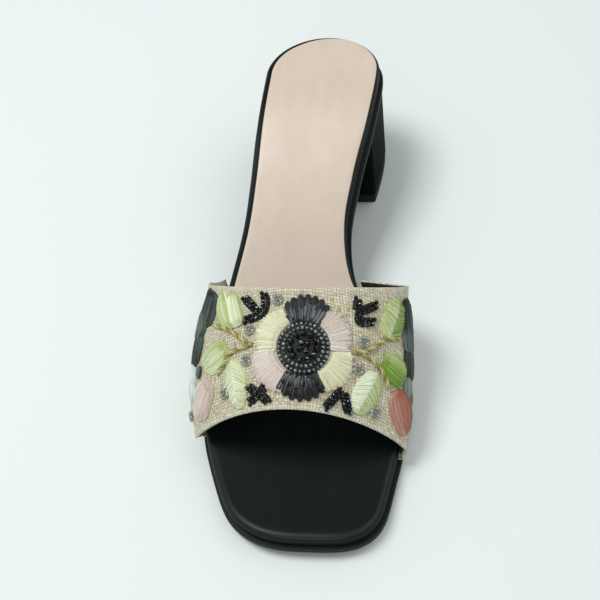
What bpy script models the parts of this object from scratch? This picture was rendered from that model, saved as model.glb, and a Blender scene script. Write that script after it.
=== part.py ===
"""Right mule sandal with a square toe, a block heel and one wide embroidered band over the forefoot.

Every size is in millimetres in the last's own frame: y runs from the toe tip back to the heel, x is
positive on the big-toe side and z is up from the floor. The finished pieces are scaled to metres, and
an empty sets them down with the origin on the floor, under the middle of the shoe.
"""

import math
from collections import namedtuple

import bmesh
import bpy
import numpy as np

MM = 0.001
COLLECTION = "mule_sandal"
WELD_DISTANCE = 0.002
SHARP_ANGLE = 35.0

# Gap left between pieces that lie on each other
SEAT_GAP = 0.3
WALL_GAP = 0.4

# Sole, seen from above
SOLE_LENGTH = 250.0
TOE_CAP_DEPTH = 22.0
TOE_CAP_POWER = 3.2
HEEL_CAP_DEPTH = 28.0
HEEL_CAP_POWER = 2.0
TOE_POINTS = 11
SIDE_POINTS = 28
HEEL_POINTS = 7
SPINE_FROM = 34.0
SPINE_TO = 222.0

# Shares of the way from the edge of a broad face to its middle line where it has loops of points
FACE_SHARES = (0.0, 0.25, 0.6, 1.0)
HIDDEN_FACE_SHARES = (0.0, 0.5, 1.0)

# Sole, seen from the side
TOE_SPRING = 3.4
FLAT_FROM = 38.0
FLAT_TO = 74.0
SEAT_FROM = 216.0
SEAT_HEIGHT = 50.0
OUTSOLE_THICK = 4.0
OUTSOLE_EDGE = 0.8
FOOTBED_THICK = 6.7
FOOTBED_EDGE = 2.6
FOOTBED_EDGE_TURNS = (0, 30, 60, 90)
LEDGE = 1.6

# Sock on the rear of the footbed
SOCK_FROM = 80.0
SOCK_CORNER = 8.0
SOCK_THICK = 0.9
SOCK_MARGIN = 2.5
SOCK_EDGE = 0.4
SOCK_SPINE_FROM = 112.0

# Heel block and its top piece
BREAST_AT = 189.0
HEEL_CORNER = 2.0
HEEL_INSET = 0.8
HEEL_FLARE = 1.03
HEEL_BACK_LEAN = 5.0
HEEL_EDGE = 0.6
HEEL_SPINE_FROM = 207.0
TOP_PIECE_THICK = 6.0
TOP_PIECE_INSET = 0.4

# Band over the forefoot
BAND_WALL = 2.2
BAND_DROP = 1.0
LASTING_MARGIN = 6.0
BAND_ACROSS = 36
BAND_ALONG = 10
SHOULDER_SHARE = 0.62
EDGE_SWEEP_POWER = 1.8
REBATE_CLEARANCE = 0.6

# Raised embroidery: a flower of six petals round a beaded centre, with leaves and buds beside it
RELIEF_POINTS = 9
RELIEF_EDGE_SHARE = 0.35
RELIEF_UNDER_SIZES = (0.0, 0.5, 1.0)
RELIEF_OVER_SIZES = (1.0, 0.7, 0.35, 0.0)
FLOWER_ACROSS = 0.03
FLOWER_ALONG = 0.465
FLOWER_RADIUS = 11.3
FLOWER_RELIEF = 3.4
PETAL_FROM = 11.9
PETAL_GAP = 0.7
PETAL_ROUNDNESS = 4.0
PETAL_RELIEF = 1.6
PETAL_RIDGE = 0.6

SoleStation = namedtuple("SoleStation", "y centre half_width")
SOLE_STATIONS = (
    SoleStation(0.0, 4.6, 28.4),
    SoleStation(14.0, 2.2, 33.7),
    SoleStation(30.0, 0.4, 38.9),
    SoleStation(48.0, -0.9, 43.8),
    SoleStation(64.0, -1.7, 45.9),
    SoleStation(82.0, -3.2, 44.6),
    SoleStation(104.0, -6.8, 38.1),
    SoleStation(124.0, -9.9, 30.0),
    SoleStation(144.0, -8.8, 26.1),
    SoleStation(166.0, -5.4, 26.4),
    SoleStation(190.0, -1.6, 28.4),
    SoleStation(212.0, 1.0, 29.4),
    SoleStation(250.0, 2.2, 29.4),
)

# One row for each section of the band, from its front edge to its rear edge. The y columns are where the
# section meets the sole on the little-toe side, passes over the top, and meets the sole on the big-toe
# side. Rise and bulge place the widest line of the wall above and outside the sole edge. Crown is the
# power of the arch: near 1 a parabola, 2 an ellipse.
BandSection = namedtuple(
    "BandSection",
    "share y_lateral y_top y_medial top_x top_z rise_lateral rise_medial bulge_lateral bulge_medial crown",
)
BAND_SECTIONS = (
    BandSection(0.0, 50.0, 43.5, 41.1, -3.0, 44.5, 2.0, 2.0, 0.6, 0.6, 1.15),
    BandSection(0.5, 85.5, 68.0, 80.5, -1.5, 54.0, 11.0, 12.0, 2.0, 3.4, 1.65),
    BandSection(1.0, 122.5, 90.5, 122.0, -2.0, 61.0, 23.0, 20.5, 0.5, 22.5, 2.0),
)

Finish = namedtuple("Finish", "colour roughness metallic")
BLACK_LEATHER = Finish((0.012, 0.014, 0.014), 0.45, 0.0)
BLACK_RUBBER = Finish((0.015, 0.016, 0.016), 0.6, 0.0)
NUDE_LEATHER = Finish((0.68, 0.52, 0.42), 0.4, 0.0)
LINEN = Finish((0.62, 0.53, 0.40), 0.85, 0.0)
BLACK_BEADS = Finish((0.010, 0.011, 0.012), 0.12, 0.0)
BLACK_THREAD = Finish((0.016, 0.017, 0.022), 0.4, 0.0)
YELLOW_THREAD = Finish((0.72, 0.68, 0.42), 0.45, 0.0)
PINK_THREAD = Finish((0.66, 0.50, 0.48), 0.45, 0.0)
GREEN_THREAD = Finish((0.42, 0.55, 0.22), 0.45, 0.0)
ROSE_THREAD = Finish((0.52, 0.30, 0.27), 0.45, 0.0)
CORAL_THREAD = Finish((0.55, 0.19, 0.14), 0.45, 0.0)

# Petals in turn round the flower, from the one that points to the heel towards the little-toe side
Petal = namedtuple("Petal", "reach finish")
PETALS = (
    Petal(23.5, "black_thread"),
    Petal(21.0, "yellow_thread"),
    Petal(21.0, "pink_thread"),
    Petal(23.5, "black_thread"),
    Petal(21.0, "yellow_thread"),
    Petal(21.0, "pink_thread"),
)

# Motifs by the middle of each on the band and its heading: 0 points to the big-toe side, 90 to the heel.
# Roundness is the power of its outline: below 2 it ends in points, above 2 it is blunt. Ridge is the share
# of its length along which its crown runs. A fan spreads about a pivot that far behind its middle.
Motif = namedtuple(
    "Motif",
    "name across along heading length base_width tip_width roundness ridge relief finish fan",
    defaults=(None,),
)
MOTIFS = (
    Motif("leaf_1", -0.276, 0.815, 110.0, 17.5, 10.5, 10.5, 1.5, 0.7, 1.7, "green_thread"),
    Motif("leaf_2", -0.290, 0.459, 201.0, 14.0, 12.0, 11.0, 1.8, 0.6, 1.7, "green_thread"),
    Motif("leaf_3", -0.197, 0.235, 274.0, 19.0, 9.0, 9.0, 1.5, 0.7, 1.7, "green_thread"),
    Motif("leaf_4", 0.404, 0.780, 78.0, 17.0, 10.0, 10.0, 1.5, 0.7, 1.7, "green_thread"),
    Motif("leaf_5", 0.392, 0.452, 339.0, 14.0, 12.0, 11.0, 1.8, 0.6, 1.7, "green_thread"),
    Motif("leaf_6", 0.269, 0.231, 256.0, 16.5, 9.5, 9.5, 1.5, 0.7, 1.7, "green_thread"),
    Motif("bud_1", -0.395, 0.216, 221.0, 19.0, 9.5, 10.5, 2.0, 0.5, 1.9, "rose_thread"),
    Motif("bud_2", 0.474, 0.206, 315.0, 19.0, 9.5, 10.5, 2.0, 0.5, 1.9, "coral_thread"),
    Motif("side_petal_1", -0.500, 0.735, 248.0, 34.0, 9.0, 8.0, 1.9, 0.7, 1.4, "black_thread"),
    Motif("side_petal_2", 0.553, 0.690, 284.0, 34.0, 9.0, 8.0, 1.9, 0.7, 1.4, "black_thread"),
)


# Curves and profiles


def curve_through(rows, column, at):
    """Smooth curve through one column of a table, read at places along the table's first column."""
    knots = np.array([row[0] for row in rows])
    values = np.array([getattr(row, column) for row in rows])
    slopes = np.gradient(values, knots)
    at = np.clip(at, knots[0], knots[-1])
    cell = np.clip(np.searchsorted(knots, at, side="right") - 1, 0, len(knots) - 2)
    width = knots[cell + 1] - knots[cell]
    t = (at - knots[cell]) / width
    blend = values[cell] * (1 + 2 * t) * (1 - t) ** 2 + values[cell + 1] * t**2 * (3 - 2 * t)
    bend = slopes[cell] * t * (1 - t) ** 2 - slopes[cell + 1] * t**2 * (1 - t)
    return blend + bend * width


def end_cap(distance, depth, power):
    """Share of the full width at a distance from a rounded end, along a superellipse."""
    inside = np.clip(1 - distance / depth, 0, 1)
    return (1 - inside**power) ** (1 / power)


def cap_stations(depth, power, count):
    """Distances from a rounded end whose points lie evenly round its superellipse."""
    angle = np.linspace(0, math.pi / 2, count)
    reach = (np.sin(angle) ** power + np.cos(angle) ** power) ** (1 / power)
    return depth * (1 - np.cos(angle) / reach)


def ease(t):
    t = np.clip(t, 0, 1)
    return t * t * (3 - 2 * t)


def sole_centre(y):
    return curve_through(SOLE_STATIONS, "centre", y)


def sole_half_width(y):
    toe = end_cap(y, TOE_CAP_DEPTH, TOE_CAP_POWER)
    heel = end_cap(SOLE_LENGTH - y, HEEL_CAP_DEPTH, HEEL_CAP_POWER)
    return curve_through(SOLE_STATIONS, "half_width", y) * toe * heel


def outsole_bottom(y):
    """Height of the tread: toe spring, a flat under the ball, the arch, and the level heel seat."""
    spring = TOE_SPRING * np.clip((FLAT_FROM - y) / FLAT_FROM, 0, 1) ** 2
    return spring + SEAT_HEIGHT * ease((y - FLAT_TO) / (SEAT_FROM - FLAT_TO))


def outsole_top(y):
    return outsole_bottom(y) + OUTSOLE_THICK


def footbed_bottom(y):
    return outsole_top(y) + SEAT_GAP


def footbed_top(y):
    return footbed_bottom(y) + FOOTBED_THICK


def sock_bottom(y):
    return footbed_top(y) + SEAT_GAP


def sock_top(y):
    return sock_bottom(y) + SOCK_THICK


def heel_seat(y):
    return outsole_bottom(y) - SEAT_GAP


# Loops round the sole. An outline is one half of a loop, front to back: stations and shares of the width.

Outline = namedtuple("Outline", "y share spine_from")


def sole_stations(extra=()):
    toe = cap_stations(TOE_CAP_DEPTH, TOE_CAP_POWER, TOE_POINTS)
    heel = SOLE_LENGTH - cap_stations(HEEL_CAP_DEPTH, HEEL_CAP_POWER, HEEL_POINTS)
    sides = np.linspace(toe[-1], heel[-1], SIDE_POINTS)
    return np.unique(np.concatenate([toe, sides, heel, np.array(extra)]).round(3))


def whole_outline(extra=()):
    stations = sole_stations(extra)
    return Outline(stations, np.ones_like(stations), SPINE_FROM)


def cut_outline(front, corner, spine_from):
    """The rear of the sole, cut straight across at the front with rounded corners."""
    turn = np.radians((0, 45, 90))
    round_share = corner / sole_half_width(np.array(front))
    across = np.array((0.0, 0.35, 0.7))
    stations = sole_stations()
    rear = stations[stations > front + corner + 1]
    y = np.concatenate([np.full_like(across, front), front + corner * (1 - np.cos(turn)), rear])
    share = np.concatenate([across, 1 - round_share * (1 - np.sin(turn)), np.ones_like(rear)])
    return Outline(y, share, spine_from)


def loop_normals(loop):
    """Outward unit normals of a loop that runs back along the little-toe side and forward again."""
    tangent = np.roll(loop, -1, axis=0) - np.roll(loop, 1, axis=0)
    tangent /= np.linalg.norm(tangent, axis=1, keepdims=True)
    return np.stack([-tangent[:, 1], tangent[:, 0]], axis=1)


def both_sides(lateral, medial):
    """One closed loop from two halves that share their first and last points."""
    return np.concatenate([lateral, medial[-2:0:-1]])


def edge_loop(outline, inset=0.0):
    """The outline as a closed loop of points, moved inwards by the inset."""
    reach = outline.share * sole_half_width(outline.y)
    lateral = np.stack([sole_centre(outline.y) - reach, outline.y], axis=1)
    medial = np.stack([sole_centre(outline.y) + reach, outline.y], axis=1)
    loop = both_sides(lateral, medial)
    return loop - inset * loop_normals(loop)


def drawn_in(loop, outline, share):
    """The loop drawn towards the outline's middle line: share 1 puts it on the line."""
    y = np.clip(outline.y, outline.spine_from, SPINE_TO)
    half = np.stack([sole_centre(y), y], axis=1)
    return loop + share * (both_sides(half, half) - loop)


def at_height(loop, height):
    """A loop given its height: a function of y, an array or one number."""
    z = height(loop[:, 1]) if callable(height) else height
    return np.column_stack([loop, np.broadcast_to(z, len(loop))])


def closing_loops(loop, outline, height, shares):
    """Loops over a face of a plate, between its edge and its middle line."""
    return [at_height(drawn_in(loop, outline, share), height) for share in shares]


# Objects


def material_of(name, finish):
    material = bpy.data.materials.new(name)
    material.use_nodes = True
    shader = material.node_tree.nodes["Principled BSDF"]
    shader.inputs["Base Color"].default_value = (*finish.colour, 1.0)
    shader.inputs["Roughness"].default_value = finish.roughness
    shader.inputs["Metallic"].default_value = finish.metallic
    return material


def grid_faces(rows, columns, wrap):
    """Quads between the points of a grid stored row by row."""
    faces = []
    for row in range(rows - 1):
        here = row * columns
        there = here + columns
        for i in range(columns if wrap else columns - 1):
            j = (i + 1) % columns
            faces.append((here + i, here + j, there + j, there + i))
    return faces


def add_piece(name, points, faces, material, closed=True):
    """One named object from points in millimetres. A closed one is welded and its faces turned out."""
    mesh = bpy.data.meshes.new(name)
    mesh.from_pydata((points * MM).tolist(), [], faces)
    if closed:
        form = bmesh.new()
        form.from_mesh(mesh)
        bmesh.ops.remove_doubles(form, verts=form.verts, dist=WELD_DISTANCE * MM)
        bmesh.ops.recalc_face_normals(form, faces=form.faces)
        form.to_mesh(mesh)
        form.free()
    mesh.shade_smooth()
    mesh.set_sharp_from_angle(angle=math.radians(SHARP_ANGLE))
    mesh.materials.append(material)
    piece = bpy.data.objects.new(name, mesh)
    bpy.data.collections[COLLECTION].objects.link(piece)
    return piece


def loft_loops(name, loops, material):
    """A closed solid through loops of equal length. The first and the last lie on a line or a point."""
    points = np.concatenate(loops)
    return add_piece(name, points, grid_faces(len(loops), len(loops[0]), wrap=True), material)


# Sole, sock and heel


def make_outsole(material):
    outline = whole_outline()
    edge = edge_loop(outline)
    bevelled = edge_loop(outline, OUTSOLE_EDGE)
    loops = closing_loops(bevelled, outline, outsole_bottom, FACE_SHARES[::-1])
    loops.append(at_height(edge, outsole_bottom(edge[:, 1]) + OUTSOLE_EDGE))
    loops.append(at_height(edge, outsole_top(edge[:, 1]) - OUTSOLE_EDGE))
    loops += closing_loops(bevelled, outline, outsole_top, FACE_SHARES)
    return loft_loops("outsole", loops, material)


def rebate_stations():
    """Stations at both sides of each end of the rebate, so that its ends are steep."""
    ends = []
    for section, outwards in ((BAND_SECTIONS[0], -1), (BAND_SECTIONS[-1], 1)):
        for y in (section.y_lateral, section.y_medial):
            ends += [y + outwards * REBATE_CLEARANCE, y + outwards * 2 * REBATE_CLEARANCE]
    return ends


def rebate_height(outline):
    """Height of the step under the footbed edge that takes the band's turned-in margin, round the loop."""
    front, rear = BAND_SECTIONS[0], BAND_SECTIONS[-1]
    reach = 1.5 * REBATE_CLEARANCE
    lateral = (outline.y > front.y_lateral - reach) & (outline.y < rear.y_lateral + reach)
    medial = (outline.y > front.y_medial - reach) & (outline.y < rear.y_medial + reach)
    return np.where(both_sides(lateral, medial), BAND_WALL + SEAT_GAP, 0.0)


def make_footbed(material):
    outline = whole_outline(rebate_stations())
    step = rebate_height(outline)
    margin = LEDGE + LASTING_MARGIN + SEAT_GAP
    past_step = edge_loop(outline, margin + 2 * SEAT_GAP)
    inside_step = edge_loop(outline, margin)
    edge = edge_loop(outline, LEDGE)
    loops = closing_loops(past_step, outline, footbed_bottom, HIDDEN_FACE_SHARES[::-1])
    loops.append(at_height(inside_step, footbed_bottom(inside_step[:, 1]) + step))
    loops.append(at_height(edge, footbed_bottom(edge[:, 1]) + step))
    for turn in np.radians(FOOTBED_EDGE_TURNS):
        rounded = edge_loop(outline, LEDGE + FOOTBED_EDGE * (1 - math.cos(turn)))
        loops.append(at_height(rounded, footbed_top(rounded[:, 1]) - FOOTBED_EDGE * (1 - math.sin(turn))))
    loops += closing_loops(rounded, outline, footbed_top, FACE_SHARES[1:])
    return loft_loops("footbed", loops, material)


def make_sock(material):
    outline = cut_outline(SOCK_FROM, SOCK_CORNER, SOCK_SPINE_FROM)
    edge = edge_loop(outline, LEDGE + SOCK_MARGIN)
    bevelled = edge_loop(outline, LEDGE + SOCK_MARGIN + SOCK_EDGE)
    loops = closing_loops(edge, outline, sock_bottom, FACE_SHARES[::-1])
    loops.append(at_height(edge, sock_top(edge[:, 1]) - SOCK_EDGE))
    loops += closing_loops(bevelled, outline, sock_top, FACE_SHARES)
    return loft_loops("insole_sock", loops, material)


def heel_loop(outline, inset, level):
    """The heel's outline at a level from 0, on the floor, to 1, at the seat."""
    loop = edge_loop(outline, inset)
    flare = 1 + (HEEL_FLARE - 1) * (1 - level)
    shorten = 1 - (1 - level) * HEEL_BACK_LEAN / (SOLE_LENGTH - BREAST_AT)
    centre = sole_centre(loop[:, 1])
    return np.stack(
        [centre + flare * (loop[:, 0] - centre), BREAST_AT + shorten * (loop[:, 1] - BREAST_AT)], axis=1
    )


def make_heel_block(material):
    outline = cut_outline(BREAST_AT, HEEL_CORNER, HEEL_SPINE_FROM)
    bottom = TOP_PIECE_THICK + SEAT_GAP
    bottom_level = bottom / SEAT_HEIGHT
    foot = heel_loop(outline, HEEL_INSET + HEEL_EDGE, bottom_level)
    loops = closing_loops(foot, outline, bottom, HIDDEN_FACE_SHARES[::-1])
    loops.append(at_height(heel_loop(outline, HEEL_INSET, bottom_level), bottom + HEEL_EDGE))
    seat = heel_loop(outline, HEEL_INSET, 1.0)
    loops += closing_loops(seat, outline, heel_seat, FACE_SHARES)
    return loft_loops("heel_block", loops, material)


def make_top_piece(material):
    outline = cut_outline(BREAST_AT, HEEL_CORNER, HEEL_SPINE_FROM)
    inset = HEEL_INSET + TOP_PIECE_INSET
    foot = heel_loop(outline, inset + HEEL_EDGE, 0.0)
    side = heel_loop(outline, inset, 0.0)
    loops = closing_loops(foot, outline, 0.0, HIDDEN_FACE_SHARES[::-1])
    loops.append(at_height(side, HEEL_EDGE))
    loops.append(at_height(side, TOP_PIECE_THICK - HEEL_EDGE))
    loops += closing_loops(foot, outline, TOP_PIECE_THICK, HIDDEN_FACE_SHARES)
    return loft_loops("heel_top_piece", loops, material)


# Band


def footbed_side(side, y, outwards):
    """A point beside the footbed: side -1 is the little-toe side and 1 the big-toe side."""
    reach = sole_centre(y) + side * sole_half_width(y)
    step = 0.5
    ahead = sole_centre(y + step) + side * sole_half_width(y + step)
    slope = (ahead - reach) / step
    scale = (outwards - LEDGE) / np.sqrt(1 + slope**2)
    return reach + side * scale, y - side * slope * scale


def band_surface(across, along):
    """Outer face of the band. Across runs from -1 at the little-toe side to 1, along from 0 to 1."""
    across, along = np.broadcast_arrays(across, along)
    row = {name: curve_through(BAND_SECTIONS, name, along) for name in BandSection._fields[1:]}
    side = np.where(across < 0, -1.0, 1.0)
    reach = np.abs(across)
    lateral = across < 0
    station = np.where(lateral, row["y_lateral"], row["y_medial"])
    rise = np.where(lateral, row["rise_lateral"], row["rise_medial"])
    bulge = np.where(lateral, row["bulge_lateral"], row["bulge_medial"])
    base_x, base_y = footbed_side(side, station, WALL_GAP + BAND_WALL)
    base_z = footbed_top(base_y) - BAND_DROP
    wide_x = base_x + side * bulge
    wide_z = base_z + rise
    turn = np.clip(reach / SHOULDER_SHARE, 0, 1) * math.pi / 2
    arch_x = row["top_x"] + (wide_x - row["top_x"]) * np.sin(turn)
    arch_z = wide_z + (row["top_z"] - wide_z) * np.clip(np.cos(turn), 0, 1) ** (2 / row["crown"])
    down = np.clip((reach - SHOULDER_SHARE) / (1 - SHOULDER_SHARE), 0, 1)
    x = arch_x + (base_x - wide_x) * down**2
    y = row["y_top"] + (base_y - row["y_top"]) * reach**EDGE_SWEEP_POWER
    z = arch_z + (base_z - wide_z) * down
    return np.stack([x, y, z], axis=-1)


def band_margin(side, along):
    """The band below its base: down the footbed's side, then in under its edge."""
    column = "y_lateral" if side < 0 else "y_medial"
    station = curve_through(BAND_SECTIONS, column, along)
    corner_x, corner_y = footbed_side(side, station, WALL_GAP + BAND_WALL)
    end_x, end_y = footbed_side(side, station, WALL_GAP + BAND_WALL - LASTING_MARGIN)
    corner = np.stack([corner_x, corner_y, outsole_top(corner_y) + SEAT_GAP], axis=-1)
    end = np.stack([end_x, end_y, outsole_top(end_y) + SEAT_GAP], axis=-1)
    return corner, end


def make_upper_band(material):
    along = np.linspace(0, 1, BAND_ALONG + 1)
    across = np.linspace(-1, 1, BAND_ACROSS + 1)
    arch = band_surface(across[None, :], along[:, None])
    lateral_corner, lateral_end = band_margin(-1.0, along)
    medial_corner, medial_end = band_margin(1.0, along)
    before = np.stack([lateral_end, lateral_corner], axis=1)
    after = np.stack([medial_corner, medial_end], axis=1)
    sheet = np.concatenate([before, arch, after], axis=1)
    faces = grid_faces(sheet.shape[0], sheet.shape[1], wrap=False)
    band = add_piece("upper_band", sheet.reshape(-1, 3), faces, material, closed=False)
    wall = band.modifiers.new("wall", "SOLIDIFY")
    wall.thickness = BAND_WALL * MM
    wall.offset = -1.0
    wall.use_even_offset = True
    return band


# Raised embroidery, cut from the band's own surface


def band_frame(across, along):
    """Slopes of the band along its two parameters, and its outward unit normal."""
    step = 0.001
    slope_across = (band_surface(across + step, along) - band_surface(across - step, along)) / (2 * step)
    slope_along = (band_surface(across, along + step) - band_surface(across, along - step)) / (2 * step)
    normal = np.cross(slope_across, slope_along)
    return slope_across, slope_along, normal / np.linalg.norm(normal, axis=-1, keepdims=True)


def places_on_band(motif, forward, sideways):
    """Across and along of points a number of millimetres ahead and to the left of a motif's middle."""
    slope_across, slope_along, normal = band_frame(np.array(motif.across), np.array(motif.along))
    right = slope_across / np.linalg.norm(slope_across)
    back = np.cross(normal, right)
    heading = math.radians(motif.heading)
    ahead = math.cos(heading) * right + math.sin(heading) * back
    left = math.cos(heading) * back - math.sin(heading) * right
    offset = np.outer(forward, ahead) + np.outer(sideways, left)
    slopes = np.stack([slope_across, slope_along], axis=1)
    steps = offset @ np.linalg.pinv(slopes).T
    return motif.across + steps[:, 0], motif.along + steps[:, 1]


def motif_loop(motif, size, lift):
    """A motif's outline drawn in to a share of its size, at a height over the band."""
    angle = np.linspace(0, math.pi, RELIEF_POINTS)
    power = motif.roundness
    reach = (np.abs(np.cos(angle)) ** power + np.sin(angle) ** power) ** (-1 / power)
    t = (1 - np.cos(angle) * reach) / 2
    width = motif.base_width + (motif.tip_width - motif.base_width) * t
    half_width = width / 2 * np.sin(angle) * reach * size
    forward = (t - 0.5) * motif.length * (size + motif.ridge * (1 - size))
    forward = np.concatenate([forward, forward[-2:0:-1]])
    sideways = np.concatenate([half_width, -half_width[-2:0:-1]])
    if motif.fan:
        angle = sideways / motif.fan
        radius = motif.fan + forward
        forward = radius * np.cos(angle) - motif.fan
        sideways = radius * np.sin(angle)
    across, along = places_on_band(motif, forward, sideways)
    return band_surface(across, along) + lift * band_frame(across, along)[2]


def make_relief(motif, material):
    """A domed solid that lies on the band and swells from its edge to its crown."""
    loops = [motif_loop(motif, size, SEAT_GAP) for size in RELIEF_UNDER_SIZES]
    for size in RELIEF_OVER_SIZES:
        swell = RELIEF_EDGE_SHARE + (1 - RELIEF_EDGE_SHARE) * math.sqrt(1 - size**2)
        loops.append(motif_loop(motif, size, SEAT_GAP + motif.relief * swell))
    return loft_loops(motif.name, loops, material)


def flower_motifs():
    """The beaded centre and the petals round it, each a wedge of the ring."""
    width = 2 * FLOWER_RADIUS
    centre = Motif(
        "flower_centre", FLOWER_ACROSS, FLOWER_ALONG, 0.0, width, width, width, 2.0, 0.0, FLOWER_RELIEF,
        "black_beads",
    )
    motifs = [centre]
    for index, petal in enumerate(PETALS):
        aim = centre._replace(heading=90 + index * 360 / len(PETALS))
        middle = (PETAL_FROM + petal.reach) / 2
        across, along = places_on_band(aim, np.array([middle]), np.zeros(1))
        width = 2 * math.pi * middle / len(PETALS) - PETAL_GAP
        motifs.append(
            aim._replace(
                name=f"petal_{index + 1}",
                across=across[0],
                along=along[0],
                length=petal.reach - PETAL_FROM,
                base_width=width,
                tip_width=width,
                roundness=PETAL_ROUNDNESS,
                ridge=PETAL_RIDGE,
                relief=PETAL_RELIEF,
                finish=petal.finish,
                fan=middle,
            )
        )
    return motifs


# Assembly


def clear_scene():
    for item in list(bpy.data.objects):
        bpy.data.objects.remove(item, do_unlink=True)
    bpy.context.scene.collection.children.link(bpy.data.collections.new(COLLECTION))


def stand_under_middle(pieces):
    """Parent the pieces to an empty that puts the middle of their common box over the origin."""
    corners = np.array([corner for piece in pieces for corner in piece.bound_box])
    middle = (corners.min(axis=0) + corners.max(axis=0)) / 2
    stand = bpy.data.objects.new("stand", None)
    stand.location = (-middle[0], -middle[1], 0.0)
    bpy.data.collections[COLLECTION].objects.link(stand)
    for piece in pieces:
        piece.parent = stand


def main():
    clear_scene()
    leather = material_of("black_leather", BLACK_LEATHER)
    rubber = material_of("black_rubber", BLACK_RUBBER)
    pieces = [
        make_outsole(rubber),
        make_footbed(leather),
        make_sock(material_of("nude_leather", NUDE_LEATHER)),
        make_heel_block(leather),
        make_top_piece(rubber),
        make_upper_band(material_of("linen", LINEN)),
    ]
    threads = {
        "black_beads": material_of("black_beads", BLACK_BEADS),
        "black_thread": material_of("black_thread", BLACK_THREAD),
        "yellow_thread": material_of("yellow_thread", YELLOW_THREAD),
        "pink_thread": material_of("pink_thread", PINK_THREAD),
        "green_thread": material_of("green_thread", GREEN_THREAD),
        "rose_thread": material_of("rose_thread", ROSE_THREAD),
        "coral_thread": material_of("coral_thread", CORAL_THREAD),
    }
    for motif in (*flower_motifs(), *MOTIFS):
        pieces.append(make_relief(motif, threads[motif.finish]))
    stand_under_middle(pieces)


main()
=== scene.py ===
"""Looks of a right mule sandal: a covered sole and heel, a woven band and raised embroidery with beads.

Sizes are in millimetres in the last's own frame: y runs from the toe tip back to the heel, x is positive
on the big-toe side and z is up from the floor. Each piece is moved to the row frame, in metres, as it is
added.
"""

import logging
import math
from dataclasses import dataclass, field, replace
from enum import Enum
from typing import Callable, NamedTuple

import bmesh
import bpy
import numpy as np
from mathutils import Euler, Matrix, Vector


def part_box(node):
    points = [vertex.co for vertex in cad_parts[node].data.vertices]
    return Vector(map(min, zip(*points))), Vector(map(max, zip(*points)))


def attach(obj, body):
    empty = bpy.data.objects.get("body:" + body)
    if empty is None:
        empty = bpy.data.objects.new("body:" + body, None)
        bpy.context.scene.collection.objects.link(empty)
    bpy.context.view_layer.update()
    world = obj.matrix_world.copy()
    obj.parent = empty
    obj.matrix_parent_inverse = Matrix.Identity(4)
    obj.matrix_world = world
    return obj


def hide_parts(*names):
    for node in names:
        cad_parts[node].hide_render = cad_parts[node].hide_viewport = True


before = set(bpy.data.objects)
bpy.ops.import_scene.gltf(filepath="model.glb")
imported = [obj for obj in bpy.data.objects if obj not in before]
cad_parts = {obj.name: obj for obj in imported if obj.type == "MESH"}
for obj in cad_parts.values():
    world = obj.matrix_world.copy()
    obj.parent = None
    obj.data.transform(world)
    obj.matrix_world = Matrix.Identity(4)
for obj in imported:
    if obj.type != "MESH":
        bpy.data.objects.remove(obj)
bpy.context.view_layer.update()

Array = np.ndarray
Triple = tuple[Array, Array, Array]
Colour = tuple[float, float, float]
Ends = tuple[float, float, float, float]
Material = bpy.types.Material

MM = 0.001
BODY = "root"
PIECE_MAP = "piece_map"
TINT = "tint"
TAPER_POWER = 10.0
THREAD_STEP = 0.93
THREAD_GIRTH = 0.1
LOG = logging.getLogger("mule_sandal")


# Curves


def tone(red: int, green: int, blue: int) -> Colour:
    """Linear colour of a screen tone from 0 to 255: 2.4th power above a short straight part."""
    share = np.array((red, green, blue)) / 255
    return tuple(np.where(share <= 0.04045, share / 12.92, ((share + 0.055) / 1.055) ** 2.4).tolist())


def hermite(knots: Array, values: Array, at: Array) -> Array:
    """Cubic curve through values at knots, with slopes from their neighbours.

    Args:
        knots: rising places.
        values: the value at each place.
        at: where to read the curve; it is held at both ends.

    Returns:
        The curve at those places.
    """
    slopes = np.gradient(values, knots)
    at = np.clip(at, knots[0], knots[-1])
    cell = np.clip(np.searchsorted(knots, at, side="right") - 1, 0, len(knots) - 2)
    width = knots[cell + 1] - knots[cell]
    t = (at - knots[cell]) / width
    blend = values[cell] * (1 + 2 * t) * (1 - t) ** 2 + values[cell + 1] * t**2 * (3 - 2 * t)
    return blend + width * (slopes[cell] * t * (1 - t) ** 2 - slopes[cell + 1] * t**2 * (1 - t))


def ease(t: Array) -> Array:
    """Smooth step from 0 to 1: 3 t squared less 2 t cubed."""
    t = np.clip(t, 0, 1)
    return t * t * (3 - 2 * t)


def swell(x: Array, power: float) -> Array:
    """Padded profile from -1 to 1: the root of 1 less the power of x, steep at its ends."""
    return np.sqrt(np.clip(1 - np.abs(x) ** power, 0, 1))


def unit(vectors: Array) -> Array:
    """Vectors of length 1."""
    return vectors / np.linalg.norm(vectors, axis=-1, keepdims=True)


def travelled(lines: Array) -> Array:
    """Distance along each line of points, which run along the last axis but one."""
    steps = np.linalg.norm(np.diff(lines, axis=-2), axis=-1)
    return np.concatenate([np.zeros_like(steps[..., :1]), np.cumsum(steps, axis=-1)], axis=-1)


def table(kind: type, *rows: tuple) -> tuple:
    """Rows of numbers as records of one kind."""
    return tuple(kind(*row) for row in rows)


# Shader trees


def operator(operation: str) -> tuple[Callable, Callable]:
    """Methods of a wire that add one Math node.

    Args:
        operation: the node's operation.

    Returns:
        The operator with the wire on the left, and its reflected form.
    """

    def plain(wire: "Wire", value: "Wire | float") -> "Wire":
        """The operation on a wire and a value."""
        return wire.paint.math(operation, wire, value)

    def reflected(wire: "Wire", value: float) -> "Wire":
        """The operation on a number and a wire."""
        return wire.paint.math(operation, value, wire)

    return plain, reflected


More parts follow.
